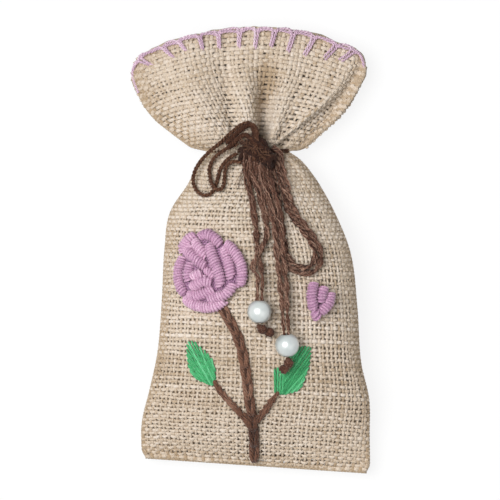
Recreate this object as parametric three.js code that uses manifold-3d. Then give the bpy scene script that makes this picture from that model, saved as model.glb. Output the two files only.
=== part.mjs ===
// Lavender sachet lying on its back: a stuffed burlap bag with a ruffled mouth, tied with a doubled cord
// whose tails carry two pearls, and embroidered with a rose. Millimetres. +X is right and +Y runs from
// the bottom seam to the mouth as the front is seen, +Z points out of the front, and Z 0 is the table.
import * as THREE from "three";
import { mergeVertices } from "three/addons/utils/BufferGeometryUtils.js";
import Module from "manifold-3d";

const wasm = await Module();
wasm.setup();
const { clamp, lerp } = THREE.MathUtils;

// Bag
const CLOTH = 0.9; // burlap thickness
const GAP = 0.3; // clearance between touching pieces
const BOTTOM_Y = -71.7; // middle of the bottom seam
const BODY_LENGTH = 104.7; // bottom seam to tie
const RUFFLE_LENGTH = 41.3; // tie to the crown of the mouth
const RUFFLE_SIDE = 25; // tie to the corners of the mouth
const BOTTOM_WIDTH = 76;
const BELLY_WIDTH = 64.9;
const SHOULDER_WIDTH = 55;
const NECK_WIDTH = 30.3;
const FLARE_WIDTH = 61; // ruffle halfway up
const MOUTH_WIDTH = 79.6;
const BELLY_FRONT = 18; // belly above the seam
const BELLY_BACK = 15.5; // belly below the seam, before the table flattens it
const BELLY_PRESSED = 2.8; // what the table presses in
const NECK_DEPTH = 12;
const FLARE_FRONT = 6;
const FLARE_BACK = 4.5;
const MOUTH_DEPTH = 5.4;
const BOTTOM_TILT = -5; // how far the bottom seam drops from left to right
const FULLNESS = 1.2; // power of the cosine that rounds a cross-section

// Folds of the gathered cloth
const PLEATS = 4; // waves across each panel at the tie
const PLEAT_DEPTH = 0.8;
const PLEAT_REACH = 9; // how far the pleats run from the tie
const CREASE_DEPTH = 4; // deep crease in the front of the ruffle
const CREASE_AT = 0.09; // across the ruffle, -1 to 1
const CREASE_WIDTH = 0.11;
const WAVE_DEPTH = 1.3; // waves of both layers at the mouth
const WAVES = 1.4;

// Inner pouch and filling
const POUCH_WALL = 0.5;
const POUCH_EDGE = 3; // from the bag's side seams to the pouch's
const POUCH_LOW = 6; // above the bottom seam
const POUCH_HIGH = 14; // below the tie
const SEAM_THREAD = 0.6;

// Embroidery
const BULLION = 2.8; // thickness of a rose stitch
const ROSE_AT = [-13.4, -7];
const BUD_BULLION = 2.3;
const BUD_AT = [22.8, -16.2];
const LEAF_DEPTH = 1;
const STEM_WIDTH = 2.8;
const BRANCH_WIDTH = 1.8;
const EDGE_THREAD = 0.9; // blanket stitch
const EDGE_INSET = 0.7; // its edge thread below the mouth
const EDGE_TURN = 1.42; // how far round the mouth the edge thread runs, in radians
const PRONG_LENGTH = 5.6;

// Cord, knots and pearls
const CORD = 1.3;
const KNOT_LENGTH = 10.4;
const KNOT_HEIGHT = 8.3;
const KNOT_DEPTH = 7;
const KNOT_X = 1.8;
const KNOT_TURNS = 3;
const PEARL = 8;
const STRAND_PITCH = CORD + GAP; // between the two strands in a bore
const BORE = STRAND_PITCH + CORD + 1.5 * GAP;
const PEARL_TRAVEL = 6;
const END_KNOT = 3.2;
const LEFT_PEARL = [3.1, -20.4];
const RIGHT_PEARL = [12.3, -31.5];
const LEFT_LEAN = 0.02; // slant of a tail across the front, at its pearl
const RIGHT_LEAN = -0.07;

const COLOURS = {
  burlap: 0xc9ad84,
  muslin: 0x6b5745,
  buds: 0x6f6488,
  seam: 0xb89f78,
  lavender: 0xc09ac6,
  green: 0x2f9a58,
  stem: 0x573a2c,
  cord: 0x4a2f25,
  pearl: 0xe9edec,
};
const MATT = 0.9;
const GLOSSY = 0.2;

// Rows of the cloth from the bottom seam to the mouth: up is the height along the middle, middle and width
// are across, and front and back are depths from the seam, which runs at height seam over the table.
const NECK_UP = BODY_LENGTH;
const FLARE_UP = NECK_UP + 0.43 * RUFFLE_LENGTH;
const MOUTH_UP = NECK_UP + RUFFLE_LENGTH;
const SEAM_HEIGHT = BELLY_BACK - BELLY_PRESSED;
const bodyRow = (station, middle, width, front, back, seam) => ({
  up: station * BODY_LENGTH,
  middle,
  width,
  front: front * BELLY_FRONT,
  back: back * BELLY_BACK,
  seam: seam * SEAM_HEIGHT,
});
const ROWS = [
  bodyRow(0, 2, BOTTOM_WIDTH, 0, 0, 0.47),
  bodyRow(0.112, 1.9, lerp(BOTTOM_WIDTH, BELLY_WIDTH, 0.02), 0.47, 0.42, 0.63),
  bodyRow(0.226, 3.2, lerp(BOTTOM_WIDTH, BELLY_WIDTH, 0.28), 0.75, 0.74, 0.83),
  bodyRow(0.341, 3.1, lerp(BOTTOM_WIDTH, BELLY_WIDTH, 0.75), 0.92, 0.92, 0.95),
  bodyRow(0.513, 3.2, BELLY_WIDTH, 1, 1, 1),
  bodyRow(0.685, 2.5, lerp(BELLY_WIDTH, SHOULDER_WIDTH, 0.33), 0.94, 0.94, 0.98),
  bodyRow(0.8, 1, SHOULDER_WIDTH, 0.81, 0.77, 0.95),
  bodyRow(0.9, 1.3, lerp(SHOULDER_WIDTH, NECK_WIDTH, 0.5), 0.58, 0.58, 0.87),
  {
    up: NECK_UP,
    middle: -0.5,
    width: NECK_WIDTH,
    front: NECK_DEPTH / 2,
    back: NECK_DEPTH / 2,
    seam: 0.83 * SEAM_HEIGHT,
  },
  {
    up: FLARE_UP,
    middle: -1.2,
    width: FLARE_WIDTH,
    front: FLARE_FRONT,
    back: FLARE_BACK,
    seam: 0.75 * SEAM_HEIGHT,
  },
  {
    up: MOUTH_UP,
    middle: -0.5,
    width: MOUTH_WIDTH,
    front: MOUTH_DEPTH / 2,
    back: MOUTH_DEPTH / 2,
    seam: 0.67 * SEAM_HEIGHT,
  },
];
const ROW_KEYS = ["middle", "width", "front", "back", "seam"];
const rows = new THREE.CubicInterpolant(
  ROWS.map((row) => row.up),
  ROWS.flatMap((row) => ROW_KEYS.map((key) => row[key])),
  ROW_KEYS.length,
);
const sachet = new THREE.Group();

function addPiece(name, geometry, colour, roughness = MATT) {
  const material = new THREE.MeshStandardMaterial({ color: COLOURS[colour], roughness, metalness: 0 });
  const mesh = new THREE.Mesh(geometry, material);
  mesh.name = name;
  sachet.add(mesh);
}

// Values of the cloth's row at a height along the middle: side is the height of the row's ends, crown the
// rise of its middle over them and tilt its drop from left to right.
function rowAt(up) {
  const values = rows.evaluate(up);
  const row = Object.fromEntries(ROW_KEYS.map((key, index) => [key, values[index]]));
  const ruffle = Math.max(0, (up - NECK_UP) / RUFFLE_LENGTH);
  row.side = Math.min(up, NECK_UP) + RUFFLE_SIDE * ruffle;
  row.crown = (RUFFLE_LENGTH - RUFFLE_SIDE) * ruffle;
  row.tilt = BOTTOM_TILT * Math.max(0, 1 - up / NECK_UP);
  return row;
}

// How far folds move the cloth out of its face: pleats round the tie, waves that both layers of the ruffle
// share, and one deep crease in the front of the ruffle.
function foldAt(up, turn, face) {
  const across = Math.sin(turn);
  const reach = Math.exp(-(((up - NECK_UP) / PLEAT_REACH) ** 2));
  const phase = face > 0 ? 0 : Math.PI / 3;
  const pleat = PLEAT_DEPTH * reach * Math.cos(turn) * Math.cos(Math.PI * PLEATS * across + phase);
  const share = clamp((up - NECK_UP) / RUFFLE_LENGTH, 0, 1);
  const wave = WAVE_DEPTH * share * Math.cos(turn) * Math.sin(2 * Math.PI * WAVES * across);
  const deep = face > 0 ? CREASE_DEPTH * 4 * share * (1 - share) : 0;
  return pleat + face * wave - deep * Math.exp(-(((across - CREASE_AT) / CREASE_WIDTH) ** 2));
}

// A point of the cloth. Turn runs from -90 degrees at the left seam to 90 at the right, face is 1 for the
// front and -1 for the back, inset and edge move the point inwards, and folded is 0 for smooth cloth.
function clothPoint(up, turn, face, inset = 0, edge = inset, folded = 1) {
  const row = rowAt(up);
  const across = Math.sin(turn);
  const depth = Math.max(0, (face > 0 ? row.front : row.back) - inset);
  const fold = folded ? foldAt(up, turn, face) : 0;
  const rise = GAP / 2 + depth * Math.cos(turn) ** FULLNESS + fold;
  return new THREE.Vector3(
    row.middle + (row.width / 2 - edge) * across,
    BOTTOM_Y + row.side + (row.tilt / 2) * across + row.crown * Math.cos(turn),
    Math.max(row.seam + face * rise, inset),
  );
}

// Where a place of the front, seen from straight above, lies in the cloth.
function locate(x, y, reach = 0.97) {
  let up = y - BOTTOM_Y;
  let turn = 0;
  for (let round = 0; round < 40; round += 1) {
    const row = rowAt(up);
    turn = Math.asin(clamp((x - row.middle) / (row.width / 2), -reach, reach));
    up += 0.8 * (y - clothPoint(up, turn, 1).y);
  }
  return [up, turn];
}

// A place on the front, lifted along the cloth's normal.
function onCloth(x, y, lift) {
  const [up, turn] = locate(x, y);
  const step = 0.01;
  const point = clothPoint(up, turn, 1);
  const along = clothPoint(up + step, turn, 1).sub(point);
  const across = clothPoint(up, turn + step, 1).sub(point);
  const normal = across.cross(along).normalize();
  return point.addScaledVector(normal, lift);
}

// A place straight above the smooth front, for cords.
function over([x, y, lift]) {
  const [up, turn] = locate(x, y, 0.85);
  return new THREE.Vector3(x, y, clothPoint(up, turn, 1, 0, 0, 0).z + lift);
}

function meshGeometry(points, triangles) {
  const geometry = new THREE.BufferGeometry();
  const values = points.flatMap((p) => [p.x, p.y, p.z]);
  geometry.setAttribute("position", new THREE.Float32BufferAttribute(values, 3));
  geometry.setIndex(triangles.flat());
  return geometry;
}

// A closed solid between an upper and a lower sheet, each given by column and row shares from 0 to 1.
function sheetSolid(upper, lower, columns, lines) {
  const points = [];
  for (const sheet of [upper, lower]) {
    for (let j = 0; j <= lines; j += 1) {
      for (let i = 0; i <= columns; i += 1) {
        points.push(sheet(i / columns, j / lines));
      }
    }
  }
  const top = (i, j) => j * (columns + 1) + i;
  const low = (i, j) => (lines + 1) * (columns + 1) + top(i, j);
  const triangles = [];
  for (let j = 0; j < lines; j += 1) {
    for (let i = 0; i < columns; i += 1) {
      triangles.push([top(i, j), top(i + 1, j), top(i + 1, j + 1)]);
      triangles.push([top(i, j), top(i + 1, j + 1), top(i, j + 1)]);
      triangles.push([low(i, j), low(i + 1, j + 1), low(i + 1, j)]);
      triangles.push([low(i, j), low(i, j + 1), low(i + 1, j + 1)]);
    }
  }
  const rim = [];
  for (let i = 0; i < columns; i += 1) {
    rim.push([i, 0]);
  }
  for (let j = 0; j < lines; j += 1) {
    rim.push([columns, j]);
  }
  for (let i = columns; i > 0; i -= 1) {
    rim.push([i, lines]);
  }
  for (let j = lines; j > 0; j -= 1) {
    rim.push([0, j]);
  }
  rim.forEach((from, index) => {
    const to = rim[(index + 1) % rim.length];
    triangles.push([top(...to), top(...from), low(...from)]);
    triangles.push([top(...to), low(...from), low(...to)]);
  });
  return meshGeometry(points, triangles);
}

// A closed solid along a curve with round rings, whose radius depends on the share of its length.
function taperedTube(route, radiusAt, rings, sides) {
  const curve = new THREE.CatmullRomCurve3(route, false, "centripetal");
  const frames = curve.computeFrenetFrames(rings);
  const points = [];
  for (let k = 0; k <= rings; k += 1) {
    const centre = curve.getPointAt(k / rings);
    const radius = radiusAt(k / rings);
    for (let i = 0; i < sides; i += 1) {
      const angle = (2 * Math.PI * i) / sides;
      const point = centre.clone().addScaledVector(frames.normals[k], radius * Math.cos(angle));
      points.push(point.addScaledVector(frames.binormals[k], radius * Math.sin(angle)));
    }
  }
  const first = points.push(curve.getPointAt(0)) - 1;
  const last = points.push(curve.getPointAt(1)) - 1;
  const at = (k, i) => k * sides + (i % sides);
  const triangles = [];
  for (let i = 0; i < sides; i += 1) {
    for (let k = 0; k < rings; k += 1) {
      triangles.push([at(k, i), at(k, i + 1), at(k + 1, i + 1)]);
      triangles.push([at(k, i), at(k + 1, i + 1), at(k + 1, i)]);
    }
    triangles.push([first, at(0, i + 1), at(0, i)]);
    triangles.push([last, at(rings, i), at(rings, i + 1)]);
  }
  return meshGeometry(points, triangles);
}

// A cord of constant thickness along a smooth curve.
function cordTube(route, diameter, steps, sides = 8) {
  const corners = Array.from({ length: sides }, (_, index) => {
    const angle = (2 * Math.PI * index) / sides;
    return new THREE.Vector2((diameter / 2) * Math.cos(angle), (diameter / 2) * Math.sin(angle));
  });
  const extrudePath = new THREE.CatmullRomCurve3(route, false, "centripetal");
  return new THREE.ExtrudeGeometry(new THREE.Shape(corners), { steps, bevelEnabled: false, extrudePath });
}

function toSolid(geometry) {
  const bare = geometry.clone();
  bare.deleteAttribute("normal");
  bare.deleteAttribute("uv");
  const merged = mergeVertices(bare, 1e-5);
  const vertProperties = new Float32Array(merged.attributes.position.array);
  const triVerts = new Uint32Array(merged.index.array);
  return new wasm.Manifold(new wasm.Mesh({ numProp: 3, vertProperties, triVerts }));
}

function toGeometry(solid) {
  const mesh = solid.getMesh();
  const geometry = new THREE.BufferGeometry();
  geometry.setAttribute("position", new THREE.BufferAttribute(new Float32Array(mesh.vertProperties), 3));
  geometry.setIndex(Array.from(mesh.triVerts));
  return geometry;
}

// Two burlap panels that meet along the side and bottom seams.
const COLUMN_PITCH = 3.4; // between the lines along a panel, at the bottom seam
const BODY_PITCH = 6.2; // between the lines across its body
const RUFFLE_PITCH = 4.6; // between the lines across its ruffle
const PANEL_COLUMNS = Math.round(BOTTOM_WIDTH / COLUMN_PITCH);
const BODY_LINES = Math.round(BODY_LENGTH / BODY_PITCH);
const RUFFLE_LINES = Math.round(RUFFLE_LENGTH / RUFFLE_PITCH);
const PANEL_LINES = BODY_LINES + RUFFLE_LINES;

function turnAt(share) {
  return Math.PI * (share - 0.5);
}

// Lines across a panel close up towards the tie, which has a line of its own.
function panelUp(share, inset) {
  const line = share * PANEL_LINES;
  if (line <= BODY_LINES) {
    return NECK_UP - (NECK_UP - inset) * (1 - line / BODY_LINES) ** 1.2;
  }
  return NECK_UP + RUFFLE_LENGTH * ((line - BODY_LINES) / RUFFLE_LINES) ** 1.3;
}

function panelSheet(face, inset) {
  return (i, j) => clothPoint(panelUp(j, inset), turnAt(i), face, inset);
}

function addPanels() {
  const front = sheetSolid(panelSheet(1, 0), panelSheet(1, CLOTH), PANEL_COLUMNS, PANEL_LINES);
  const back = sheetSolid(panelSheet(-1, CLOTH), panelSheet(-1, 0), PANEL_COLUMNS, PANEL_LINES);
  addPiece("front_panel", front, "burlap");
  addPiece("back_panel", back, "burlap");
}

// A pillow inside the bag: depth shrinks by inset, width by edge and length by margin, and both ends close.
function pillowSheet(face, inset, edge, margin) {
  const low = POUCH_LOW + margin;
  const high = NECK_UP - POUCH_HIGH - margin;
  return (i, j) => {
    const up = lerp(low, high, j);
    const row = rowAt(up);
    const closing = Math.max(0, 1 - Math.abs(2 * j - 1) ** 6) ** 0.6;
    const point = clothPoint(up, turnAt(i), face, inset, edge, 0);
    point.z = Math.max(row.seam + (point.z - row.seam) * closing, face < 0 ? inset : 0);
    point.z += face * (GAP / 2) * (1 - closing);
    return point;
  };
}

function addPouch() {
  const columns = 10;
  const lines = 12;
  const outer = CLOTH + GAP;
  const inner = outer + POUCH_WALL;
  const wall = (face) => [
    pillowSheet(face, outer, POUCH_EDGE, 0),
    pillowSheet(face, inner, POUCH_EDGE + POUCH_WALL, POUCH_WALL),
  ];
  const [frontOut, frontIn] = wall(1);
  const [backOut, backIn] = wall(-1);
  addPiece("pouch_front", sheetSolid(frontOut, frontIn, columns, lines), "muslin");
  addPiece("pouch_back", sheetSolid(backIn, backOut, columns, lines), "muslin");
  const edge = POUCH_EDGE + POUCH_WALL + 5 * GAP;
  const margin = POUCH_WALL + 6 * GAP;
  const heap = [1, -1].map((face) => pillowSheet(face, inner + GAP, edge, margin));
  addPiece("lavender_filling", sheetSolid(...heap, columns, lines), "buds");
}

// Sewing thread inside the seams.
function addSeamThreads() {
  const sides = 5;
  const inset = CLOTH + 3 * GAP + SEAM_THREAD / 2;
  const first = 2;
  const last = PANEL_LINES - 4;
  for (const [name, turn] of [["left_seam_thread", -Math.PI / 2], ["right_seam_thread", Math.PI / 2]]) {
    const route = Array.from({ length: last - first }, (_, line) => {
      const point = clothPoint(panelUp((line + first) / PANEL_LINES, 0), turn, 1, inset);
      return point.setZ(point.z - GAP / 2);
    });
    addPiece(name, cordTube(route, SEAM_THREAD, 30, sides), "seam");
  }
  const lowest = CLOTH + 4 * GAP + SEAM_THREAD;
  const bottom = [-0.42, -0.2, 0, 0.2, 0.42].map((share) => {
    const point = clothPoint(lowest, Math.PI * share, 1, inset);
    return point.setZ(rowAt(lowest).seam);
  });
  addPiece("bottom_seam_thread", cordTube(bottom, SEAM_THREAD, 8, sides), "seam");
}

// Blanket stitch: an edge thread along the mouth with prongs that run down the cloth, each at its turn.
const PRONGS = [-1.13, -0.91, -0.66, -0.47, -0.29, -0.1, 0.06, 0.19, 0.36, 0.6, 0.85, 1.08];

function blanketStitch(face) {
  const sides = 5;
  const points = 23;
  const lift = -(EDGE_THREAD / 2 + 3 * GAP);
  const edgeUp = MOUTH_UP - EDGE_INSET;
  const edge = Array.from({ length: points }, (_, index) => {
    return clothPoint(edgeUp, lerp(-EDGE_TURN, EDGE_TURN, index / (points - 1)), face, lift);
  });
  let solid = toSolid(cordTube(edge, EDGE_THREAD, 26, sides));
  for (const turn of PRONGS) {
    const route = [0, 0.5, 1].map((share) => clothPoint(edgeUp - share * PRONG_LENGTH, turn, face, lift));
    solid = solid.add(toSolid(cordTube(route, 0.94 * EDGE_THREAD, 2, sides)));
  }
  return toGeometry(solid);
}

// Bullion stitches: plump sausages on the cloth. Their centre lines are counted in stitch thicknesses from
// the middle of the flower.
const ROSE_FOOT = [0.98, -4.23];
const ROSE = [
  [[-1.64, -0.71], [-1.11, -0.48], [-0.57, -0.3]],
  [[-1.76, -2.02], [-1.05, -1.61], [-0.21, -1.25], [0.5, -1.49]],
  [[-2.28, 2.3], [-1.7, 1.79], [-0.93, 1.13], [-0.15, 0.48]],
  [[0.2, 3.15], [0.44, 2.32], [0.86, 1.13], [1.33, -0.18], [1.54, -1.13], [1.49, -1.85]],
  [[-1.52, 3.51], [-1.11, 2.92], [-0.63, 2.32], [-0.21, 1.73]],
  [[-0.87, 4.11], [-0.1, 4.4], [0.86, 3.87], [1.45, 3.1]],
  [[2.23, 1.49], [2.46, 0.65], [2.64, -0.18], [2.73, -0.83]],
  [[2.4, 3.04], [3, 2.44], [3.6, 1.43], [3.99, 0.3], [4.01, -0.77], [3.83, -1.85]],
  [[2.88, -1.79], [2.52, -2.44], [1.75, -2.98], [0.86, -3.21], [0.14, -3.39]],
  [[-2, -2.92], [-1.35, -3.04], [-0.63, -2.83], [0.02, -2.5], [0.56, -2.26]],
  [[-2, 0.77], [-2.2, -0.06], [-2.2, -1.01]],
  [[-3.01, 1.49], [-3.33, 0.42], [-3.39, -0.77], [-3.21, -1.85], [-2.8, -2.74]],
  [[-2.54, -3.57], [-1.88, -3.99], [-0.93, -4.29], [0.14, -4.4], ROSE_FOOT],
  [[-2.83, 2.38], [-2.76, 2.98], [-2.36, 3.69], [-1.7, 4.29]],
];
const BUD = [
  [[-1.07, 2.26], [-1.39, 1.17], [-1.42, -0.13], [-1.22, -1.22]],
  [[0.38, 1.61], [-0.01, 0.59], [-0.12, -0.42]],
  [[1.39, 0.67], [1.14, -0.28], [0.67, -1.19], [0.09, -1.84]],
  [[-1.1, -2.16], [-0.84, -2.49], [-0.49, -2.74]],
];

function stitchPlaces(line, [x, y], thickness) {
  return line.map(([right, up]) => [x + right * thickness, y + up * thickness]);
}

function bullion(places, thickness) {
  const radius = thickness / 2;
  const route = places.map(([x, y]) => onCloth(x, y, radius + GAP));
  const radiusAt = (share) => radius * (0.6 + 0.4 * Math.sqrt(Math.max(0, 1 - (2 * share - 1) ** 4)));
  return taperedTube(route, radiusAt, 7, 7);
}

function addFlowers() {
  ROSE.forEach((line, index) => {
    const places = stitchPlaces(line, ROSE_AT, BULLION);
    addPiece(`rose_stitch_${String(index + 1).padStart(2, "0")}`, bullion(places, BULLION), "lavender");
  });
  BUD.forEach((line, index) => {
    const places = stitchPlaces(line, BUD_AT, BUD_BULLION);
    addPiece(`bud_stitch_${index + 1}`, bullion(places, BUD_BULLION), "lavender");
  });
}

// Leaves: a base, a tip and the bulges of both sides, domed over the cloth.
const LEAVES = {
  leaf_left: { base: [-11.4, -44.9], tip: [-20, -30.2], left: [-22.4, -41.6], right: [-8.6, -36.4] },
  leaf_right: { base: [9, -47.6], tip: [20, -32.8], left: [8.2, -36.2], right: [20.6, -45.6] },
};
const LEAF_END = 0.04; // share of a leaf's length that is cut at both ends

function leafSolid({ base, tip, left, right }) {
  const sides = [left, right].map((bulge) => {
    return new THREE.QuadraticBezierCurve(...[base, bulge, tip].map((p) => new THREE.Vector2(...p)));
  });
  const sheet = (lift) => (i, j) => {
    const share = lerp(LEAF_END, 1 - LEAF_END, j);
    const [from, to] = sides.map((curve) => curve.getPoint(share));
    const place = from.lerp(to, i);
    return onCloth(place.x, place.y, GAP + lift * (0.4 + 0.6 * Math.sin(Math.PI * i)));
  };
  return sheetSolid(sheet(LEAF_DEPTH), sheet(0), 4, 8);
}

// Stem and branches: stitched lines on the cloth. The stem starts below the rose's lowest stitch, and each
// branch runs from its leaf to a joint at the side of the stem.
const [[FOOT_X, FOOT_Y]] = stitchPlaces([ROSE_FOOT], ROSE_AT, BULLION);
const [JOINT_X, JOINT_Y] = [0.8, -56.9];
const STEM = [
  [FOOT_X + STEM_WIDTH / 2, FOOT_Y - BULLION / 2 - STEM_WIDTH / 2 - GAP],
  [-5.3, -25],
  [-3.4, -29.2],
  [-1.4, -37.5],
  [-0.6, -45.5],
  [0.3, -52.5],
  [JOINT_X, JOINT_Y],
  [1.2, -63],
  [1.4, -69],
];
const STEM_SIDE = STEM_WIDTH / 2 + BRANCH_WIDTH / 2 + GAP;
const BRANCHES = {
  branch_left: [[-10.6, -46.3], [-7, -50.3], [-4, -53.8], [JOINT_X - STEM_SIDE, JOINT_Y]],
  branch_right: [[7.9, -49], [5.8, -52.2], [JOINT_X + STEM_SIDE, JOINT_Y + 1.2]],
};

function stitchedLine(places, width, steps) {
  const route = places.map(([x, y]) => onCloth(x, y, width / 2 + GAP));
  const radiusAt = (share) => (width / 2) * (0.7 + 0.3 * Math.sin(Math.PI * share) ** 0.4);
  return taperedTube(route, radiusAt, steps, 7);
}

function addFoliage() {
  for (const [name, leaf] of Object.entries(LEAVES)) {
    addPiece(name, leafSolid(leaf), "green");
  }
  addPiece("stem", stitchedLine(STEM, STEM_WIDTH, 12), "stem");
  for (const [name, places] of Object.entries(BRANCHES)) {
    addPiece(name, stitchedLine(places, BRANCH_WIDTH, 5), "stem");
  }
}

// Tie round the neck, open at the knot that sits on the front.
const knotCentre = clothPoint(NECK_UP, 0, 1, 0, 0, 0);
knotCentre.set(KNOT_X, knotCentre.y, knotCentre.z + PLEAT_DEPTH + GAP + KNOT_DEPTH / 2);

function tieRoute(steps) {
  const row = rowAt(NECK_UP);
  const lift = CORD / 2 + 2 * GAP;
  const half = row.width / 2 + lift;
  const start = Math.asin((KNOT_X - KNOT_LENGTH / 2 - GAP - row.middle) / half);
  const end = Math.asin((KNOT_X + KNOT_LENGTH / 2 + GAP - row.middle) / half);
  const sweep = 2 * Math.PI - (end - start);
  return Array.from({ length: steps + 1 }, (_, index) => {
    const angle = start - (sweep * index) / steps;
    const rise = Math.cos(angle);
    const depth = row.front + PLEAT_DEPTH + lift + GAP / 2;
    const z = row.seam + Math.sign(rise) * depth * Math.abs(rise) ** FULLNESS;
    return new THREE.Vector3(row.middle + half * Math.sin(angle), knotCentre.y, z);
  });
}

// The knot: a short barrel across the neck with turns of cord.
function knotSolid() {
  const profile = [new THREE.Vector2(0, -KNOT_LENGTH / 2)];
  const stations = 4 * KNOT_TURNS;
  for (let k = 0; k <= stations; k += 1) {
    const share = k / stations;
    const barrel = 0.62 + 0.32 * Math.sin(Math.PI * share);
    const bulge = 0.06 * Math.cos(2 * Math.PI * KNOT_TURNS * (share - 0.5));
    profile.push(new THREE.Vector2((KNOT_HEIGHT / 2) * (barrel + bulge), (share - 0.5) * KNOT_LENGTH));
  }
  profile.push(new THREE.Vector2(0, KNOT_LENGTH / 2));
  const knot = new THREE.LatheGeometry(profile, 12);
  knot.rotateZ(-Math.PI / 2);
  knot.scale(1, 1, KNOT_DEPTH / KNOT_HEIGHT);
  return knot.translate(knotCentre.x, knotCentre.y, knotCentre.z);
}

// Loops of the bow: places as x, y and the height over the cloth.
const LOOPS = {
  left_loop_outer: [
    [1.2, 38, 3.4], [1.1, 40.4, 3.4], [0, 42.2, 3.1], [-2.6, 41.8, 2.9], [-5.6, 39.6, 2.9], [-9.7, 35.8, 3.4],
    [-14, 32.2, 4.6], [-17.4, 28.1, 3.1], [-18.8, 24.7, 2.2], [-18.7, 21.6, 1.8], [-17.4, 19.3, 1.8],
    [-15.5, 18.2, 1.6], [-13.6, 18.4, 1.4], [-12.1, 20, 1.3], [-11, 23, 1.2], [-10.1, 26.4, 1.4],
    [-8.2, 29.4, 1.6], [-5.8, 31.3, 2], [-4.2, 32, 2.6],
  ],
  left_loop_inner: [
    [-4.1, 35.2, 4], [-6.4, 34.4, 4], [-9.3, 32.7, 3.7], [-12.2, 30.2, 2.8], [-13.5, 27.2, 1.9],
    [-13.4, 24.4, 1.6], [-12.8, 22, 2.7], [-11.6, 20.3, 3.2], [-10.2, 20, 3], [-8.9, 21.3, 1.9],
    [-8.5, 24.2, 1.9], [-8.1, 27.2, 2.6], [-6.6, 29, 3.2], [-4.6, 29.4, 3.8], [-3, 29, 3.8],
  ],
  right_loop_outer: [
    [7.6, 34.2, 4.4], [9.4, 32.4, 3.6], [10.6, 28, 1.8], [11.9, 22, 1.1], [14.4, 13.8, 1.1], [18, 8.4, 1.1],
    [21.4, 4, 1.1], [23.3, 0, 1.1], [23.2, -4, 1.1], [21.2, -7, 1.1], [18, -7.8, 1], [14.4, -6.6, 1],
    [11.4, -3.6, 1], [9.8, 1.4, 1], [8.9, 8, 1], [8, 14.6, 1], [7, 21, 1], [5.9, 25.6, 1], [5.2, 28.3, 1.1],
  ],
  right_loop_inner: [
    [7.7, 31.7, 3.6], [8.7, 29.6, 2.6], [9.5, 26, 1.3], [10.8, 20.6, 1.1], [12.9, 13.2, 1.1],
    [16.8, 7.2, 1.1], [19.9, 3.2, 1.1], [21.5, -0.2, 1.1], [21.3, -3.4, 1.1], [20, -5.2, 1.1],
    [17.9, -5.9, 1], [15.2, -5, 1], [12.8, -2.6, 1], [11.5, 1.8, 1], [10.6, 8, 1], [9.7, 14.4, 1],
    [8.6, 20.6, 1], [7.6, 25.4, 1], [6.9, 28.4, 1.1],
  ],
};

// Tails: places as for the loops, down to the straight stretch that the pearl slides on.
const TAILS = {
  left_tail_a: [
    [-1.3, 28.2, 3.9], [-0.9, 24.6, 1.8], [-0.2, 20, 1.1], [0.6, 14, 1.1], [1.8, 7.6, 1.1], [2.3, 2.4, 1.2],
    [1.5, -2.4, 1.9],
  ],
  left_tail_b: [
    [0.8, 28.2, 3.9], [1.6, 24.6, 1.8], [2.6, 20, 1.1], [4.3, 13.4, 1.1], [5.7, 7, 1.1], [5.6, 2.2, 1.4],
    [4.5, -2.4, 2.1],
  ],
  right_tail_a: [
    [2.9, 28.2, 3.9], [3.9, 24.4, 2.9], [5.2, 20, 2.7], [6.9, 13.4, 2.7], [8, 7, 2.7], [8.6, 1.4, 2.7],
    [9.2, -4.6, 2.5], [9.9, -10.4, 2.8],
  ],
  right_tail_b: [
    [5, 28.2, 3.9], [6.2, 24.4, 2.9], [7.6, 20, 2.7], [9.3, 13.4, 2.7], [10.3, 7, 2.7], [10.8, 1.4, 2.7],
    [11.2, -4.6, 2.5], [11.8, -10.4, 2.8],
  ],
};

// End knots: places across and along from the lower end of the pearl, and the height over the cloth.
const END_KNOTS = {
  left: [[1.3, -2.1, 3.4], [3, -2.7, 2.4], [4.7, -3.1, 2.1]],
  right: [[0.1, -2.2, 3.6], [-0.8, -3.7, 3.4], [-2.4, -4.7, 3.3]],
};

function pearlCentre([x, y]) {
  return onCloth(x, y, PEARL / 2 + GAP).setX(x).setY(y);
}

// The way that a pearl slides: along the cloth under its tail.
function tailAxis([x, y], lean) {
  const start = pearlCentre([x, y]);
  const end = pearlCentre([x + lean * PEARL_TRAVEL, y + PEARL_TRAVEL]);
  return end.sub(start).normalize();
}

function strand(places, pearl, axis, side) {
  const start = pearl.clone().add(new THREE.Vector3(0.8, 0, 0.6).multiplyScalar((side * STRAND_PITCH) / 2));
  const top = PEARL_TRAVEL + PEARL / 2;
  const straight = [top, PEARL_TRAVEL, 0, 1 - PEARL / 2, GAP - PEARL / 2];
  return [...places.map(over), ...straight.map((along) => start.clone().addScaledVector(axis, along))];
}

function pearlSolid(centre, axis) {
  const radius = PEARL / 2;
  const polar = Math.asin(BORE / 2 / radius);
  const bands = 9;
  const profile = Array.from({ length: bands + 1 }, (_, k) => {
    const angle = lerp(Math.PI - polar, polar, k / bands);
    return new THREE.Vector2(radius * Math.sin(angle), radius * Math.cos(angle));
  });
  profile.push(profile[0].clone());
  const pearl = new THREE.LatheGeometry(profile, 18);
  pearl.applyQuaternion(new THREE.Quaternion().setFromUnitVectors(new THREE.Vector3(0, 1, 0), axis));
  return pearl.translate(centre.x, centre.y, centre.z);
}

function endKnot(centre, axis, places) {
  const end = centre.clone().addScaledVector(axis, -PEARL / 2);
  const start = [GAP, 3 * GAP].map((along) => end.clone().addScaledVector(axis, -along));
  const route = [...start, ...places.map(([x, y, lift]) => over([end.x + x, end.y + y, lift]))];
  const radiusAt = (share) => (END_KNOT / 2) * (0.4 + 0.6 * Math.sin(Math.PI * share) ** 0.7);
  return taperedTube(route, radiusAt, 8, 8);
}

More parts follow.
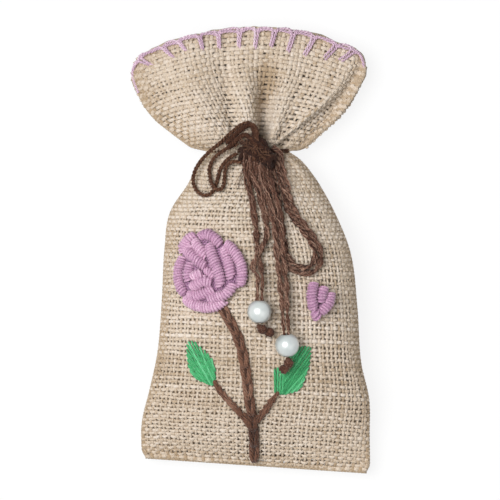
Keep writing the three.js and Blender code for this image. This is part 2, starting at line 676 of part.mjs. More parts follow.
function addBow() {
  const tieSteps = 28;
  addPiece("neck_tie", cordTube(tieRoute(tieSteps), CORD, tieSteps), "cord");
  addPiece("bow_knot", knotSolid(), "cord");
  for (const [name, places] of Object.entries(LOOPS)) {
    addPiece(name, cordTube(places.map(over), CORD, 21), "cord");
  }
}

function addTail(side, place, lean) {
  const centre = pearlCentre(place);
  const axis = tailAxis(place, lean);
  for (const [letter, hand] of [["a", -1], ["b", 1]]) {
    const name = `${side}_tail_${letter}`;
    addPiece(name, cordTube(strand(TAILS[name], centre, axis, hand), CORD, 18), "cord");
  }
  addPiece(`${side}_pearl`, pearlSolid(centre, axis), "pearl", GLOSSY);
  addPiece(`${side}_end_knot`, endKnot(centre, axis, END_KNOTS[side]), "cord");
}

addPanels();
addPouch();
addSeamThreads();
addPiece("mouth_stitch_front", blanketStitch(1), "lavender");
addPiece("mouth_stitch_back", blanketStitch(-1), "lavender");
addFlowers();
addFoliage();
addBow();
addTail("left", LEFT_PEARL, LEFT_LEAN);
addTail("right", RIGHT_PEARL, RIGHT_LEAN);

export default sachet;
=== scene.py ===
import bpy
import numpy as np
from numpy import arcsin, clip, cos, linspace, maximum, pi, sin
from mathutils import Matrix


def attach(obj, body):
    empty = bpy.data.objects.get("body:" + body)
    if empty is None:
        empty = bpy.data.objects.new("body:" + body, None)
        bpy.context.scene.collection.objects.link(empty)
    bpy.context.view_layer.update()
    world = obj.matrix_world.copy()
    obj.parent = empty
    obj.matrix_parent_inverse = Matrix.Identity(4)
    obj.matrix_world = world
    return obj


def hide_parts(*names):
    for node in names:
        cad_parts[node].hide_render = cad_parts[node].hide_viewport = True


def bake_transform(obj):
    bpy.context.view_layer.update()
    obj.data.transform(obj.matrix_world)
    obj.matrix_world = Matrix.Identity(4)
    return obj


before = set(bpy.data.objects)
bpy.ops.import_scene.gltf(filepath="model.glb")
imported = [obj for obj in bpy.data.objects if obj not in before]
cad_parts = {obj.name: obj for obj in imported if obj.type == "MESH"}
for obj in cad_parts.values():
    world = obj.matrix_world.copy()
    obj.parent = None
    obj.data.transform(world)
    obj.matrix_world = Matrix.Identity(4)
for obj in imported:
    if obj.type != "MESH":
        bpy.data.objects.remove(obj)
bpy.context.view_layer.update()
rng = np.random.default_rng(7)
MM = 0.001
TURN = 2 * pi
SEAM_TURN = pi / 2

# The cloth, in millimetres, with the frame's own sizes. A place on it has a height up from the
# bottom seam, a turn (-SEAM_TURN to SEAM_TURN, left to right) and a face, 1 front or -1 back.
BOTTOM_Y, BOTTOM_TILT = -71.7, 5
BODY, RUFFLE, RUFFLE_SIDE = 104.7, 41.3, 25
MOUTH = BODY + RUFFLE
SEAM_Z, BELLY_FRONT, BELLY_BACK = 12.7, 18, 15.5
FULLNESS = 1.2  # power that rounds a cross-section
HALF_CLOTH = 0.15
# Up, middle, width, front, back and seam: shares of the sizes in the last line, or millimetres.
ROWS = np.array([
    (0, 2, 76, 0, 0, 0.47),
    (0.112, 1.9, 75.78, 0.47, 0.42, 0.63),
    (0.226, 3.2, 72.89, 0.75, 0.74, 0.83),
    (0.341, 3.1, 67.68, 0.92, 0.92, 0.95),
    (0.513, 3.2, 64.9, 1, 1, 1),
    (0.685, 2.5, 61.63, 0.94, 0.94, 0.98),
    (0.8, 1, 55, 0.81, 0.77, 0.95),
    (0.9, 1.3, 42.65, 0.58, 0.58, 0.87),
]) * (BODY, 1, 1, BELLY_FRONT, BELLY_BACK, SEAM_Z)
ROWS = np.vstack([ROWS, [  # the neck and the ruffle, in millimetres
    (BODY, -0.5, 30.3, 6, 6, 0.83 * SEAM_Z),
    (BODY + 0.43 * RUFFLE, -1.2, 61, 6, 4.5, 0.75 * SEAM_Z),
    (MOUTH, -0.5, 79.6, 2.7, 2.7, 0.67 * SEAM_Z),
]])

# Folds: heights in millimetres, and places across the cloth from -1 to 1.
GATHERS = ((0.9, 0.7), (9, 12), (17, 24))  # depth, reach and ribs, above the tie and below it
PLEAT_DEPTH, PLEAT_REACH, WAVE_DEPTH, WAVES = 0.4, 9, 1.3, 1.4
SLACK_DEPTH, BACK_WAVE = 0.35, 1.4
CREASE_DEPTH, CREASE_AT, CREASE_LEAN = 8.6, 0.215, 0.07
HOLLOW_DEPTH, HOLLOW_AT, HOLLOW_UP = 2.2, 0.19, 0.42
RIDGES = ((-0.03, 0.11, 3.5), (-0.2, 0.07, -2), (0.4, 0.1, 3.4), (0.75, 0.1, 1.6))
LOBE_HEIGHT, LOBE_AT, LOBE_WIDTH = 5.5, -0.52, 0.27
DENTS = ((54.3, 0, 0.3), (43.5, 0.27, 0.42))  # under the pearls: up, across, depth
DENT_UP, DENT_ACROSS = 8, 0.2
ROLL_RISE, ROLL_DROP, ROLL_WIDTH = 1.5, 1.1, 0.55  # the ruffle's right edge, folded over
CORNERS = ((2.7, 0.95, 0.11), (1.5, -0.95, 0.09))  # raised ends of the mouth: height, across, width
TIE_SQUEEZE, TIE_REACH = 4.4, 1.7


def bell(x, width):
    """1 where x is 0, falling to almost 0 at twice the width."""
    return np.exp(-((x / width) ** 2))


def rows_at(up):
    """Middle, width, front, back and seam, by a smooth curve through ROWS."""
    t, v = ROWS[:, 0], ROWS[:, 1:]
    secant = np.diff(v, axis=0) / np.diff(t)[:, None]
    slope = (np.vstack([secant[:1], secant]) + np.vstack([secant, secant[-1:]])) / 2
    k = clip(np.searchsorted(t, up, side="right"), 1, len(t) - 1) - 1
    gap = (t[k + 1] - t[k])[..., None]
    p = (up - t[k])[..., None] / gap
    q = 1 - p
    start = q * q * ((1 + 2 * p) * v[k] + p * gap * slope[k])
    return start + p * p * ((1 + 2 * q) * v[k + 1] - q * gap * slope[k + 1])


def fold_at(up, turn, face):
    """Pleats, gathers and slack, and the ruffle's waves, crease and roll."""
    across, side = sin(turn), maximum(cos(turn), 0)
    gone = up - BODY
    share = clip(gone / RUFFLE, 0, 1)
    depth, reach, ribs = (np.where(gone > 0, above, below) for above, below in GATHERS)
    wide = (1 - bell(gone, 1.2)) * np.exp(-np.abs(gone) / reach)
    ribs = ribs * across + 1.3 * sin(5 * across) + 0.8 * face
    gather = depth * wide * np.sqrt(side) * sin(ribs)
    shift = 0 if face > 0 else pi / 3
    pleat = PLEAT_DEPTH * bell(gone, PLEAT_REACH) * side * cos(2 * TURN * across + shift)
    wave = WAVE_DEPTH * share * side * sin(WAVES * TURN * across)
    loose = SLACK_DEPTH * clip(1 - up / BODY, 0, 1) ** 0.5
    slack = loose * side * sin(0.11 * up + 3.1 * across + face)
    fold = pleat + gather + face * wave + slack
    if face < 0:
        return fold + BACK_WAVE * sin(pi * share) * side * sin(9 * across)
    deep = CREASE_DEPTH * clip(share * 7, 0, 1) * clip(1.1 - 1.15 * share, 0, 1) ** 1.1
    off = across - CREASE_AT + CREASE_LEAN * share
    narrow = (0.045 + 0.1 * share) * np.where(off < 0, 0.5 + 1.1 * share, 1.9)
    fold = fold - deep * bell(off, narrow)
    off = across - HOLLOW_AT
    hollow = HOLLOW_DEPTH * bell(share - HOLLOW_UP, 0.16)
    fold = fold - hollow * bell(off, np.where(off < 0, 0.05, 0.12))
    gathered = clip(share / 0.12, 0, 1) ** 0.8 * (1 - share) ** 0.9
    for at, width, height in RIDGES:
        fold = fold + height * gathered * bell(across - at, width)
    lobe = LOBE_HEIGHT * sin(pi * share ** 0.75)
    fold = fold + lobe * bell(across - LOBE_AT, LOBE_WIDTH)
    for height, at, press in DENTS:
        fold = fold - press * bell(up - height, DENT_UP) * bell(across - at, DENT_ACROSS)
    lip = np.minimum(1, 1.2 * sin(2.92 * share ** 0.5)) * np.minimum(1, side / 0.25)
    bend = across - 1 + ROLL_WIDTH * np.exp(-share / 0.31)
    fold = fold + lip * ROLL_RISE * bell(bend + 0.05, 0.04)
    return fold - lip * ROLL_DROP * (1 + np.tanh(bend / 0.018))


def cloth(up, turn, face, inset=0, edge=None, folds=1):
    """Points of the cloth, or of a skin inside it by inset (edge at the sides)."""
    up, turn = np.broadcast_arrays(up, turn)
    middle, width, front, back, seam = np.moveaxis(rows_at(up), -1, 0)
    across, side = sin(turn), maximum(cos(turn), 0)
    ruffle = maximum(0, (up - BODY) / RUFFLE)
    y = BOTTOM_Y + np.minimum(up, BODY) + RUFFLE_SIDE * ruffle
    y = y - BOTTOM_TILT / 2 * maximum(0, 1 - up / BODY) * across
    y = y + (RUFFLE - RUFFLE_SIDE) * ruffle * side
    fold = 0
    if folds:
        fold = folds * fold_at(up, turn, face)
        gone = maximum(up - BODY, 0)
        tight = bell(up - BODY, TIE_REACH)
        width = width - 2.4 * bell(up, 1.5) - 2.2 * bell(MOUTH - up, 2.6)
        width = width + 6.5 * np.minimum(gone / 2.5, 1) * bell(gone - 4, 9)
        width = width - 0.8 * bell(gone - 14, 6) + 2.2 * bell(BODY - 4.5 - up, 3.5)
        width = width - TIE_SQUEEZE * tight
        front, back = front - 1.5 * tight, back - 1.5 * tight
        raised = sum(height * bell(across - at, reach) for height, at, reach in CORNERS)
        y = y + 0.65 * ruffle * sin(2.6 * across) + ruffle ** 3 * raised
    depth = maximum(0, (front if face > 0 else back) - inset)
    rise = HALF_CLOTH + depth * side ** FULLNESS + fold
    x = middle + (width / 2 - (inset if edge is None else edge)) * across
    z = maximum(seam + face * rise, inset)
    return np.stack([x, y, z], -1)


def cloth_normal(up, turn, face):
    """Outward normals of the folded cloth."""
    du = cloth(up + 0.05, turn, face) - cloth(up - 0.05, turn, face)
    turn = clip(turn, -1.52, 1.52)
    dt = cloth(up, turn + 0.004, face) - cloth(up, turn - 0.004, face)
    return unit(face * np.cross(dt, du))


def locate(x, y, reach=0.97):
    """Height and turn of places on the smooth front, within reach across."""
    up, turn = y - BOTTOM_Y, np.zeros_like(x)
    for _ in range(40):
        row = rows_at(up)
        turn = arcsin(clip((x - row[..., 0]) / (row[..., 1] / 2), -reach, reach))
        up = up + 0.8 * (y - cloth(up, turn, 1, folds=0)[..., 1])
    return up, turn


def on_cloth(xy, lift):
    """Places on the front, lifted along its normal."""
    up, turn = locate(xy[..., 0], xy[..., 1])
    normal = cloth_normal(up, turn, 1)
    return cloth(up, turn, 1) + normal * np.asarray(lift)[..., None], normal


def over(places):
    """Places straight above the smooth front, as x, y and height over it."""
    places = np.asarray(places, float)
    up, turn = locate(places[:, 0], places[:, 1], 0.85)
    z = cloth(up, turn, 1, folds=0)[:, 2] + places[:, 2]
    return np.c_[places[:, :2], z]


# Curves
ASKEW = (0.13, 0.1, 1)  # no curve here runs along it


def spline(p, step):
    """A smooth curve through points, resampled at about that step."""
    p = np.vstack([2 * p[0] - p[1], p, 2 * p[-1] - p[-2]])
    s = linspace(0, 1, 17)[1:, None]
    out = [p[1][None]]
    for a, b, c, d in zip(p[:-3], p[1:-2], p[2:-1], p[3:]):
        pairs = ((a, b), (b, c), (c, d))
        d0, d1, d2 = (max(np.linalg.norm(v - u) ** 0.5, 1e-4) for u, v in pairs)
        t1 = ((b - a) / d0 - (c - a) / (d0 + d1) + (c - b) / d1) * d1
        t2 = ((c - b) / d1 - (d - b) / (d1 + d2) + (d - c) / d2) * d1
        c2, c3 = -3 * b + 3 * c - 2 * t1 - t2, 2 * b - 2 * c + t1 + t2
        out.append(b + t1 * s + c2 * s * s + c3 * s ** 3)
    return resample(np.vstack(out), step)


def flat_path(places, step):
    """A smooth curve through places in the plane."""
    return spline(np.c_[places, np.zeros(len(places))], step)[:, :2]


def resample(p, step):
    """A curve with its points evenly spaced."""
    along = run_of(p)
    count = max(4, int(round(along[-1] / step)) + 1)
    s = linspace(0, along[-1], count)
    return np.column_stack([np.interp(s, along, p[:, k]) for k in range(3)])


def run_of(p):
    """Length along a curve up to each of its points."""
    return np.append(0, np.cumsum(np.linalg.norm(np.diff(p, axis=0), axis=1)))


def length_of(p):
    return float(run_of(p)[-1])


def unit(v):
    return v / maximum(np.linalg.norm(v, axis=-1, keepdims=True), 1e-9)


def frames(p, start=ASKEW):
    """Tangents of a curve, and two directions square to it that don't twist."""
    t = unit(np.gradient(p, axis=0))
    n = np.zeros_like(p)
    last = np.asarray(start, float)
    for k in range(len(p)):
        last = last - t[k] * (last @ t[k])
        last = last / np.linalg.norm(last)
        n[k] = last
    return t, n, np.cross(t, n)


def around(a, b, n, flat=1):
    """Directions at the angles a in the plane of b and n."""
    return cos(a)[:, None] * b + flat * sin(a)[:, None] * n


# Meshes
PLY = {2: 0.5, 3: 0.5, 4: 0.46, 6: 0.36}  # a ply's share of a rope's radius, by number of plies


def link(name, data):
    """A new object in the scene."""
    obj = bpy.data.objects.new(name, data)
    bpy.context.scene.collection.objects.link(obj)
    return obj


class Builder:
    """The tubes and sheets of one piece, with a tone for each point."""

    def __init__(self):
        self.verts, self.quads, self.tris, self.tone = [], [], [], []
        self.count = 0

    def add(self, grid, quads, tone):
        self.verts.append(grid.reshape(-1, 3))
        self.quads.append(quads.reshape(-1, 4))
        self.tone.append(tone.reshape(-1))
        self.count += tone.size

    def sheet(self, grid, tone, closed_u=False, closed_v=False, flip=False):
        """A grid of points, joined to itself where it is closed."""
        m, n = grid.shape[:2]
        index = self.count + np.arange(m * n).reshape(m, n)
        below, beside = np.roll(index, -1, 0), np.roll(index, -1, 1)
        ring = index, below, np.roll(below, -1, 1), beside
        used = np.s_[:m if closed_u else m - 1, :n if closed_v else n - 1]
        quads = [ring[-k if flip else k][used] for k in range(4)]
        self.add(grid, np.stack(quads, -1), np.full((m, n), float(tone)))

    def tubes(self, p, normal, wide, thick, sides=6, tone=0):
        """Closed oval tubes along the curves p (tubes, points, 3)."""
        k, m = p.shape[:2]
        tangent = unit(np.gradient(p, axis=1))
        normal = unit(normal - tangent * (normal * tangent).sum(-1, keepdims=True))
        across = np.cross(tangent, normal)[:, :, None]
        normal = normal[:, :, None]
        angle = (TURN * np.arange(sides) / sides)[:, None]
        wide, thick = (np.broadcast_to(v, (k, m))[..., None, None] for v in (wide, thick))
        ring = wide * cos(angle) * across + thick * sin(angle) * normal
        index = self.count + np.arange(k * m * sides).reshape(k, m, sides)
        after = np.roll(index, -1, axis=2)
        quads = np.stack([index[:, :-1], after[:, :-1], after[:, 1:], index[:, 1:]], -1)
        for fan in (index[:, 0, ::-1], index[:, -1]):
            for i in range(1, sides - 1):
                self.tris.append(np.stack([fan[:, 0], fan[:, i], fan[:, i + 1]], -1))
        tones = np.broadcast_to(tone, (k, m))[..., None] * np.ones(sides)
        self.add(p[:, :, None] + ring, quads, tones)

    def rope(self, p, diameter, plies=3, pitch=3.2, sides=6, tone=0, phase=0, flat=1,
             normal=ASKEW, loose=0):
        """A twisted cord along a curve."""
        _, n, b = frames(p, normal)
        along = run_of(p)
        diameter = np.broadcast_to(diameter, len(p))
        ply = diameter / 2 * PLY[plies]
        reach = (diameter / 2 - ply)[:, None]
        for k in range(plies):
            a = TURN * (along / pitch + k / plies) + phase
            a = a + loose * 2 * sin(along * 0.5 + 1.9 * k + phase)
            swell = 1 + loose * sin(along * 0.9 + 2.1 * k + phase)[:, None]
            path = p + reach * swell * around(a, b, n, flat)
            tint = tone + 0.4 * sin(2.4 * k + phase)
            self.tubes(path[None], around(a, b, n)[None], ply, ply * 0.95, sides, tint)

    def yarn(self, p, diameter, pitch, twist=5.2, plies=2, strands=8, fine=0.2, stray=0, slack=0):
        """A soft cord: plies of fine loose strands, and strays that leave it at its start."""
        _, n, b = frames(p)
        along = run_of(p)
        wound = np.where(along < slack, 0.2 * along, along - 0.8 * slack)
        radius = np.broadcast_to(diameter / 2, len(p))
        for k in range(plies * strands + stray):
            a = TURN * (wound / pitch + (k % plies) / plies)
            phase = rng.uniform(0, TURN, 3)
            c = TURN * (wound / twist + k / strands) + 0.9 * sin(along * 0.6 + phase[0])
            reach = (radius / 2 - fine) * (1 + 0.4 * sin(along * 0.9 + phase[1]))
            if k >= plies * strands:
                c = phase[2] + 0.7 * sin(along * 0.35 + phase[0])
                off = rng.uniform(0.3, 0.8) * clip(1.1 - along / 26, 0, 1)
                reach = reach + radius * off
            way = around(c, b, n)
            bent, crossed = sin(3.1 * along + phase[1]), cos(2.6 * along + phase[2])
            crinkle = 0.09 * (bent[:, None] * b + crossed[:, None] * n)
            path = p + crinkle + (radius / 2)[:, None] * around(a, b, n) + reach[:, None] * way
            wide = fine * rng.uniform(0.75, 1.1)
            self.tubes(path[None], way[None], wide, fine, 4, rng.normal(0, 1.3))

    def coil(self, p, radius, tone, up):
        """A bullion stitch: thread wound round a curve, with a plain core under it."""
        thread, pitch, flat, taper, slant = 0.43, 0.9, 0.92, 0.66, 0.4
        p = resample(p, pitch / 14)
        t, n, b = frames(p, up)
        s = linspace(0, 1, len(p))
        shape = taper + (1 - taper) * np.sqrt(maximum(0, 1 - np.abs(2 * s - 1) ** 4))
        along = run_of(p)
        a = TURN * along / pitch + 0.5 * sin(along * 0.8 + tone)
        reach = (radius - thread) * shape
        out = around(a, b, n, flat)
        uneven = 1 + 0.05 * sin(along * 1.7 + 5 * tone)
        path = p + (reach * uneven)[:, None] * out + (slant * cos(a))[:, None] * t
        tint = tone + 0.3 * sin(along * 2.3)
        self.tubes(path[None], unit(out)[None], thread * 0.98, thread, tone=tint[None])
        # The core is darker than the wound thread: painted shade where it shows between the wraps.
        core = resample(p, pitch)
        inner = np.interp(linspace(0, 1, len(core)), s, reach)
        self.tubes(core[None], frames(core)[1][None], inner, inner * flat, 10, tone - 0.8)

    def piece(self, name, stuff, slot, nodes=(), body="bag"):
        """The visible piece, on its body and in place of its nodes."""
        verts = (np.vstack(self.verts) * MM).tolist()
        faces = [face for part in self.quads + self.tris for face in part.tolist()]
        mesh = bpy.data.meshes.new(name)
        mesh.from_pydata(verts, [], faces, shade_flat=False)
        tone = mesh.attributes.new("tone", "FLOAT", "POINT")
        tone.data.foreach_set("value", np.concatenate(self.tone).astype(np.float32))
        mesh.materials.append(stuff)
        obj = link(name, mesh)
        if body:
            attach(obj, body)
        if nodes:
            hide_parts(*nodes)
        return obj


# Materials
def linear(hexa):
    values = [int(hexa[k:k + 2], 16) / 255 for k in (0, 2, 4)]
    return [v / 12.92 if v <= 0.04045 else ((v + 0.055) / 1.055) ** 2.4 for v in values]


def put(node, **values):
    """Sets a node's constant inputs, with _ for each space in a name."""
    for name, value in values.items():
        node.inputs[name.replace("_", " ")].default_value = value
    return node


def math_node(tree, operation, *values):
    """The result of a sum on numbers and on other nodes' outputs."""
    node = tree.nodes.new("ShaderNodeMath")
    node.operation = operation
    for socket, value in zip(node.inputs, values):
        if isinstance(value, float):
            socket.default_value = value
        else:
            tree.links.new(value, socket)
    return node.outputs[0]


def noise(tree, scale, detail):
    """Noise in the object's own coordinates."""
    place = tree.nodes.new("ShaderNodeTexCoord")
    node = put(tree.nodes.new("ShaderNodeTexNoise"), Scale=scale, Detail=detail)
    tree.links.new(place.outputs["Object"], node.inputs["Vector"])
    return node.outputs["Fac"]


def material(name, **values):
    mat = bpy.data.materials.new(name)
    mat.use_nodes = True
    return mat, mat.node_tree, put(mat.node_tree.nodes["Principled BSDF"], **values)


def colour(tree, shader, value, stops):
    """Colours a shader by a ramp of (place, colour) stops, the two ends first."""
    ramp = tree.nodes.new("ShaderNodeValToRGB")
    ends = ramp.color_ramp.elements
    for k, (place, hexa) in enumerate(stops):
        stop = ends[k] if k < 2 else ends.new(place)
        stop.position = place
        stop.color = (*linear(hexa), 1)
    tree.links.new(value, ramp.inputs["Fac"])
    tree.links.new(ramp.outputs["Color"], shader.inputs["Base Color"])


def fibre(name, dark, middle, light, roughness, sheen, grain, bump, spread=0.16):
    """Matt fibre: colour from each yarn's tone and fine noise, with a bump of that noise."""
    mat, tree, shader = material(
        name, Roughness=roughness, Sheen_Weight=sheen, Sheen_Roughness=0.5, Specular_IOR_Level=0.25)
    tone = tree.nodes.new("ShaderNodeAttribute")
    tone.attribute_name = "tone"
    fine = noise(tree, grain, 3)
    value = math_node(tree, "MULTIPLY_ADD", tone.outputs["Fac"], spread, fine)
    value = math_node(tree, "MULTIPLY_ADD", noise(tree, 70, 2), 0.3, value)
    colour(tree, shader, value, ((0.3, dark), (1.0, light), (0.65, middle)))
    relief = put(tree.nodes.new("ShaderNodeBump"), Strength=bump, Distance=0.0002)
    tree.links.new(fine, relief.inputs["Height"])
    tree.links.new(relief.outputs["Normal"], shader.inputs["Normal"])
    return mat


# Dark, middle and light colours, roughness, sheen, grain, bump and spread of tones.
BURLAP = fibre("burlap", "AC967B", "CEBEAB", "DFD3C6", 0.9, 0.12, 1700, 0.5, 0.1)
LINING = fibre("lining", "BCA68A", "CDB89C", "DAC8B0", 0.95, 0.1, 900, 0.3)
BUDS = fibre("dried_buds", "3F3850", "6F6488", "8D83A3", 0.95, 0.1, 400, 0.4)
LAVENDER = fibre("lavender_thread", "9E7092", "CFA5BF", "F0D3E4", 0.52, 0.2, 2600, 0.35)
GREEN = fibre("green_thread", "1E7A45", "3FA868", "6CC990", 0.5, 0.25, 2600, 0.3)
BROWN = fibre("brown_thread", "44291C", "6E4A38", "987460", 0.75, 0.12, 2600, 0.5)
EDGING = fibre("lavender_edging", "B391AA", "D9BACD", "F2DFE9", 0.62, 0.25, 2600, 0.35)
# Ground thread under the flowers, darker than the stitches as painted shade in the gaps between
# them.
SHADED_GROUND = fibre("lavender_ground", "A0769A", "B488AA", "C69ABC", 0.8, 0.1, 1500, 0.5)
CORD = fibre("brown_cord", "27120A", "432617", "7D5A45", 0.85, 0.03, 2400, 0.8, 0.2)
SOFT_CORD = fibre("soft_cord", "351A0F", "684536", "A98875", 0.85, 0.08, 2200, 0.6, 0.16)
# Clouded pearl under a soft gloss
PEARL, tree, gloss = material(
    "pearl", Roughness=0.33, IOR=1.9, Coat_Weight=1.0, Coat_Roughness=0.25, Specular_IOR_Level=1.0)
colour(tree, gloss, noise(tree, 260, 3), ((0.35, "ADB6B5"), (0.65, "BEC3C0")))

# Burlap: warp yarns run up to the mouth, and weft yarns across.
WARPS, WEFT_PITCH = 51, 1.5
WARP_CRIMP, WEFT_CRIMP, MID = 0.2, 0.45, 0.55
WARP_HALF, WEFT_HALF = {1: 0.46, -1: 0.62}, {1: 0.58, -1: 0.74}  # half a yarn's width, by face
WARP_THICK, WEFT_THICK = 0.36, 0.37
SAMPLES = 3  # points from one crossing to the next
# How much darker the yarns are in the ruffle's crease, by face: painted shade.
CREASE_SHADE = {1: 3.6, -1: 0}


def along_middle(face):
    """Heights and number of the weft yarns up a panel's middle, and the run at heights there."""
    up = linspace(0, MOUTH, 1500)
    run = run_of(cloth(up, 0 * up + 0.3, face, folds=0))
    count = int(run[-1] / WEFT_PITCH)
    return np.interp((np.arange(count) + 0.5) * run[-1] / count, run, up), count, run, up


def turns_at(up, face, u):
    """Turns of places u (0 to 1) across each row, evenly spaced along it."""
    grid = linspace(-SEAM_TURN, SEAM_TURN, 241)
    runs = [run_of(row) for row in cloth(up[:, None], grid[None], face)]
    return np.stack([np.interp(share * run[-1], run, grid) for share, run in zip(u, runs)])


def wander(count, points, size, waves=5):
    """Slow random sway, one row for each yarn."""
    s = linspace(0, 1, points)
    out = np.zeros((count, points))
    for k in range(1, waves + 1):
        phase = rng.uniform(0, TURN, (count, 1))
        out += rng.normal(0, 1, (count, 1)) / k ** 0.5 * sin(TURN * (1.7 * k * s[None]) + phase)
    return size * out / 1.6


def slubs(count, points):
    """How full each yarn is along its length, and its tone."""
    full = 1 + wander(count, points, 0.17, 11)
    return full, rng.normal(0, 1, (count, 1)) + wander(count, points, 0.5, 7)


def under(up, turn):
    """How far the cloth has turned under, at its sides and bottom: 0 to 1. It darkens the yarns'
    tone there as painted shade.
    """
    edge = rows_at(up)[..., 1] / 2 * (1 - np.abs(sin(turn)))
    wide = 1.8 + 1.8 * bell(up - BODY - 7, 9)
    return maximum(bell(edge, wide), bell(up, 4))


def painted_crease_shade(up, turn):
    """How deep in the crease of the ruffle's front a place lies, 0 to 1, for the crease's painted
    shade.
    """
    share = clip((up - BODY) / RUFFLE, 0.01, 1)
    off = sin(turn) - 0.2 + 0.35 * maximum(0.5 - share, 0)
    return bell(share - 0.5, 0.28) * bell(off, 0.16 * share)


def lay(up, turn, face, crimp, half, thick, tone):
    """Yarns that pass over and under the cloth's middle by their crimp."""
    made = Builder()
    normal = cloth_normal(up, turn, face)
    sign = (-1.0) ** np.arange(len(turn))[:, None]
    p = cloth(up, turn, face) + normal * (sign * crimp - MID)[..., None]
    # Front yarns darker in the ruffle's crease: painted shade.
    tone = tone - CREASE_SHADE[face] * painted_crease_shade(up, turn)
    made.tubes(p, normal, half, thick, tone=tone)
    return made


def weave(face, label):
    """A panel of warp and weft yarns, with the seams' edges on the front one."""
    wefts, rows, run, ups = along_middle(face)
    v = np.arange(-0.5, rows - 0.5 + 1e-6, 1 / SAMPLES)
    height = np.interp((v + 0.5) * run[-1] / rows, run, ups)
    u = (np.arange(WARPS)[:, None] + 0.5 + wander(WARPS, len(v), 0.15)) / WARPS
    turn = turns_at(height, face, u.T).T
    up = np.broadcast_to(height, turn.shape)
    slub, tone = slubs(WARPS, len(v))
    tight = 1 - 0.4 * bell(up - BODY, np.where(up < BODY, 20, 14))
    full = 1 + 0.54 * clip((up - BODY) / RUFFLE, 0, 1)
    half = WARP_HALF[face] * tight * slub * full
    # Warps darker where the cloth turns under: painted shade.
    tone = tone - 0.25 - 2.8 * under(up, turn)
    warp = lay(up, turn, face, WARP_CRIMP * cos(pi * v), half, WARP_THICK, tone)
    warp_piece = warp.piece(f"{label}_warp", BURLAP, "burlap", [f"{label}_panel"])

    w = np.arange(0, WARPS * SAMPLES + 1) / SAMPLES - 0.5
    sway = wander(rows, len(w), 0.14)
    u = np.broadcast_to(clip((w + 0.5) / WARPS, 0, 1), sway.shape)
    turn = turns_at(wefts, face, u)
    up = clip(wefts[:, None] + sway * WEFT_PITCH, 0, MOUTH)
    slub, tone = slubs(rows, len(w))
    full = 1 + 0.32 * clip((up - BODY) / RUFFLE, 0, 1) + 0.16 * bell(up - BODY - 6, 6)
    half = WEFT_HALF[face] * slub * full
    # Wefts darker where the cloth turns under: painted shade.
    tone = tone + 0.25 - 1.2 * under(up, turn)
    weft = lay(up, turn, face, -WEFT_CRIMP * cos(pi * w), half, WEFT_THICK, tone)
    if face > 0:
        flat = linspace(-SEAM_TURN, SEAM_TURN, 200)
        bottom = cloth(0 * flat + 0.1, flat, 1)
        bottom[:, 2] = rows_at(0)[4]
        weft.rope(resample(bottom, 0.5), 1.35, pitch=3.4, tone=-3)
        tall = linspace(0, MOUTH, 240)
        for end in (-SEAM_TURN, SEAM_TURN):
            edge = cloth(tall, 0 * tall + end, 1, 0.35)
            edge[:, 2] = rows_at(tall)[:, 4]
            weft.rope(resample(edge, 0.5), 1.25, pitch=3.4, tone=-2.5)
    weft_piece = weft.piece(f"{label}_weft", BURLAP, "burlap")


weave(1, "front")
weave(-1, "back")


# Lining and filling
def pillow(inset, edge, low, high, bumps):
    """A closed skin inside the cloth, from low above the bottom seam to high below the tie."""
    made = Builder()
    up = linspace(low, BODY - high, 46)
    turn = linspace(-SEAM_TURN, SEAM_TURN, 41)
    closing = maximum(0, 1 - np.abs(linspace(-1, 1, len(up))) ** 8) ** 0.5
    seam = rows_at(up)[:, 4]
    for face in (1, -1):
        grid = cloth(up[:, None], turn[None], face, inset, edge, 0.35)
        grid[..., 2] = seam[:, None] + (grid[..., 2] - seam[:, None]) * closing[:, None]
        grid[..., 2] = maximum(grid[..., 2], inset)
        if bumps:
            inner = closing[:, None, None] * (cos(turn) > 0.1)[None, :, None]
            grid += rng.normal(0, bumps, grid.shape) * inner
        made.sheet(grid, 0, flip=face > 0)
    return made


lining = pillow(1.5, 2.6, 4, 6, 0)
lining = lining.piece("lining", LINING, "muslin", ["pouch_front", "pouch_back"])
filling = pillow(2.6, 4.6, 8, 16, 0.25)
filling = filling.piece("filling", BUDS, "dried_buds", ["lavender_filling"])

# Seam threads
SEAM_THREAD, SEAM_INSET, SEAM_UP = 0.6, 1.95, 2.7


def seam_threads():
    up = linspace(6, BODY + 0.6 * RUFFLE, 60)
    turn = linspace(-1.3, 1.3, 40)
    bottom = cloth(0 * turn + SEAM_UP, turn, 1, SEAM_INSET, folds=0)
    bottom[:, 2] = rows_at(SEAM_UP)[4]
    left, right = (cloth(up, 0 * up + end, 1, SEAM_INSET, folds=0)
                   for end in (-SEAM_TURN, SEAM_TURN))
    for side, path in (("left", left), ("right", right), ("bottom", bottom)):
        name = f"{side}_seam_thread"
        made = Builder()
        made.rope(resample(path, 0.9), SEAM_THREAD, plies=2, pitch=2, sides=5)
        made.piece(name + "_twist", BURLAP, "sewing_thread", [name])


seam_threads()

# Blanket stitch round the mouth: doubled thread along the edge and down each prong.
PRONGS = [-1.28, -0.84, -0.66, -0.45, -0.275, -0.065, 0.08, 0.23, 0.395, 0.61, 0.88, 1.17]
REACHES = [5.3, 5.4, 4.7, 5, 5.6, 6, 6.5, 6.4, 7.6, 7.8, 7, 6]
EDGE_UP, EDGE_THREAD, PRONG_TOP, PRONG_TIP = MOUTH - 0.9, 1.05, 1.15, 0.85


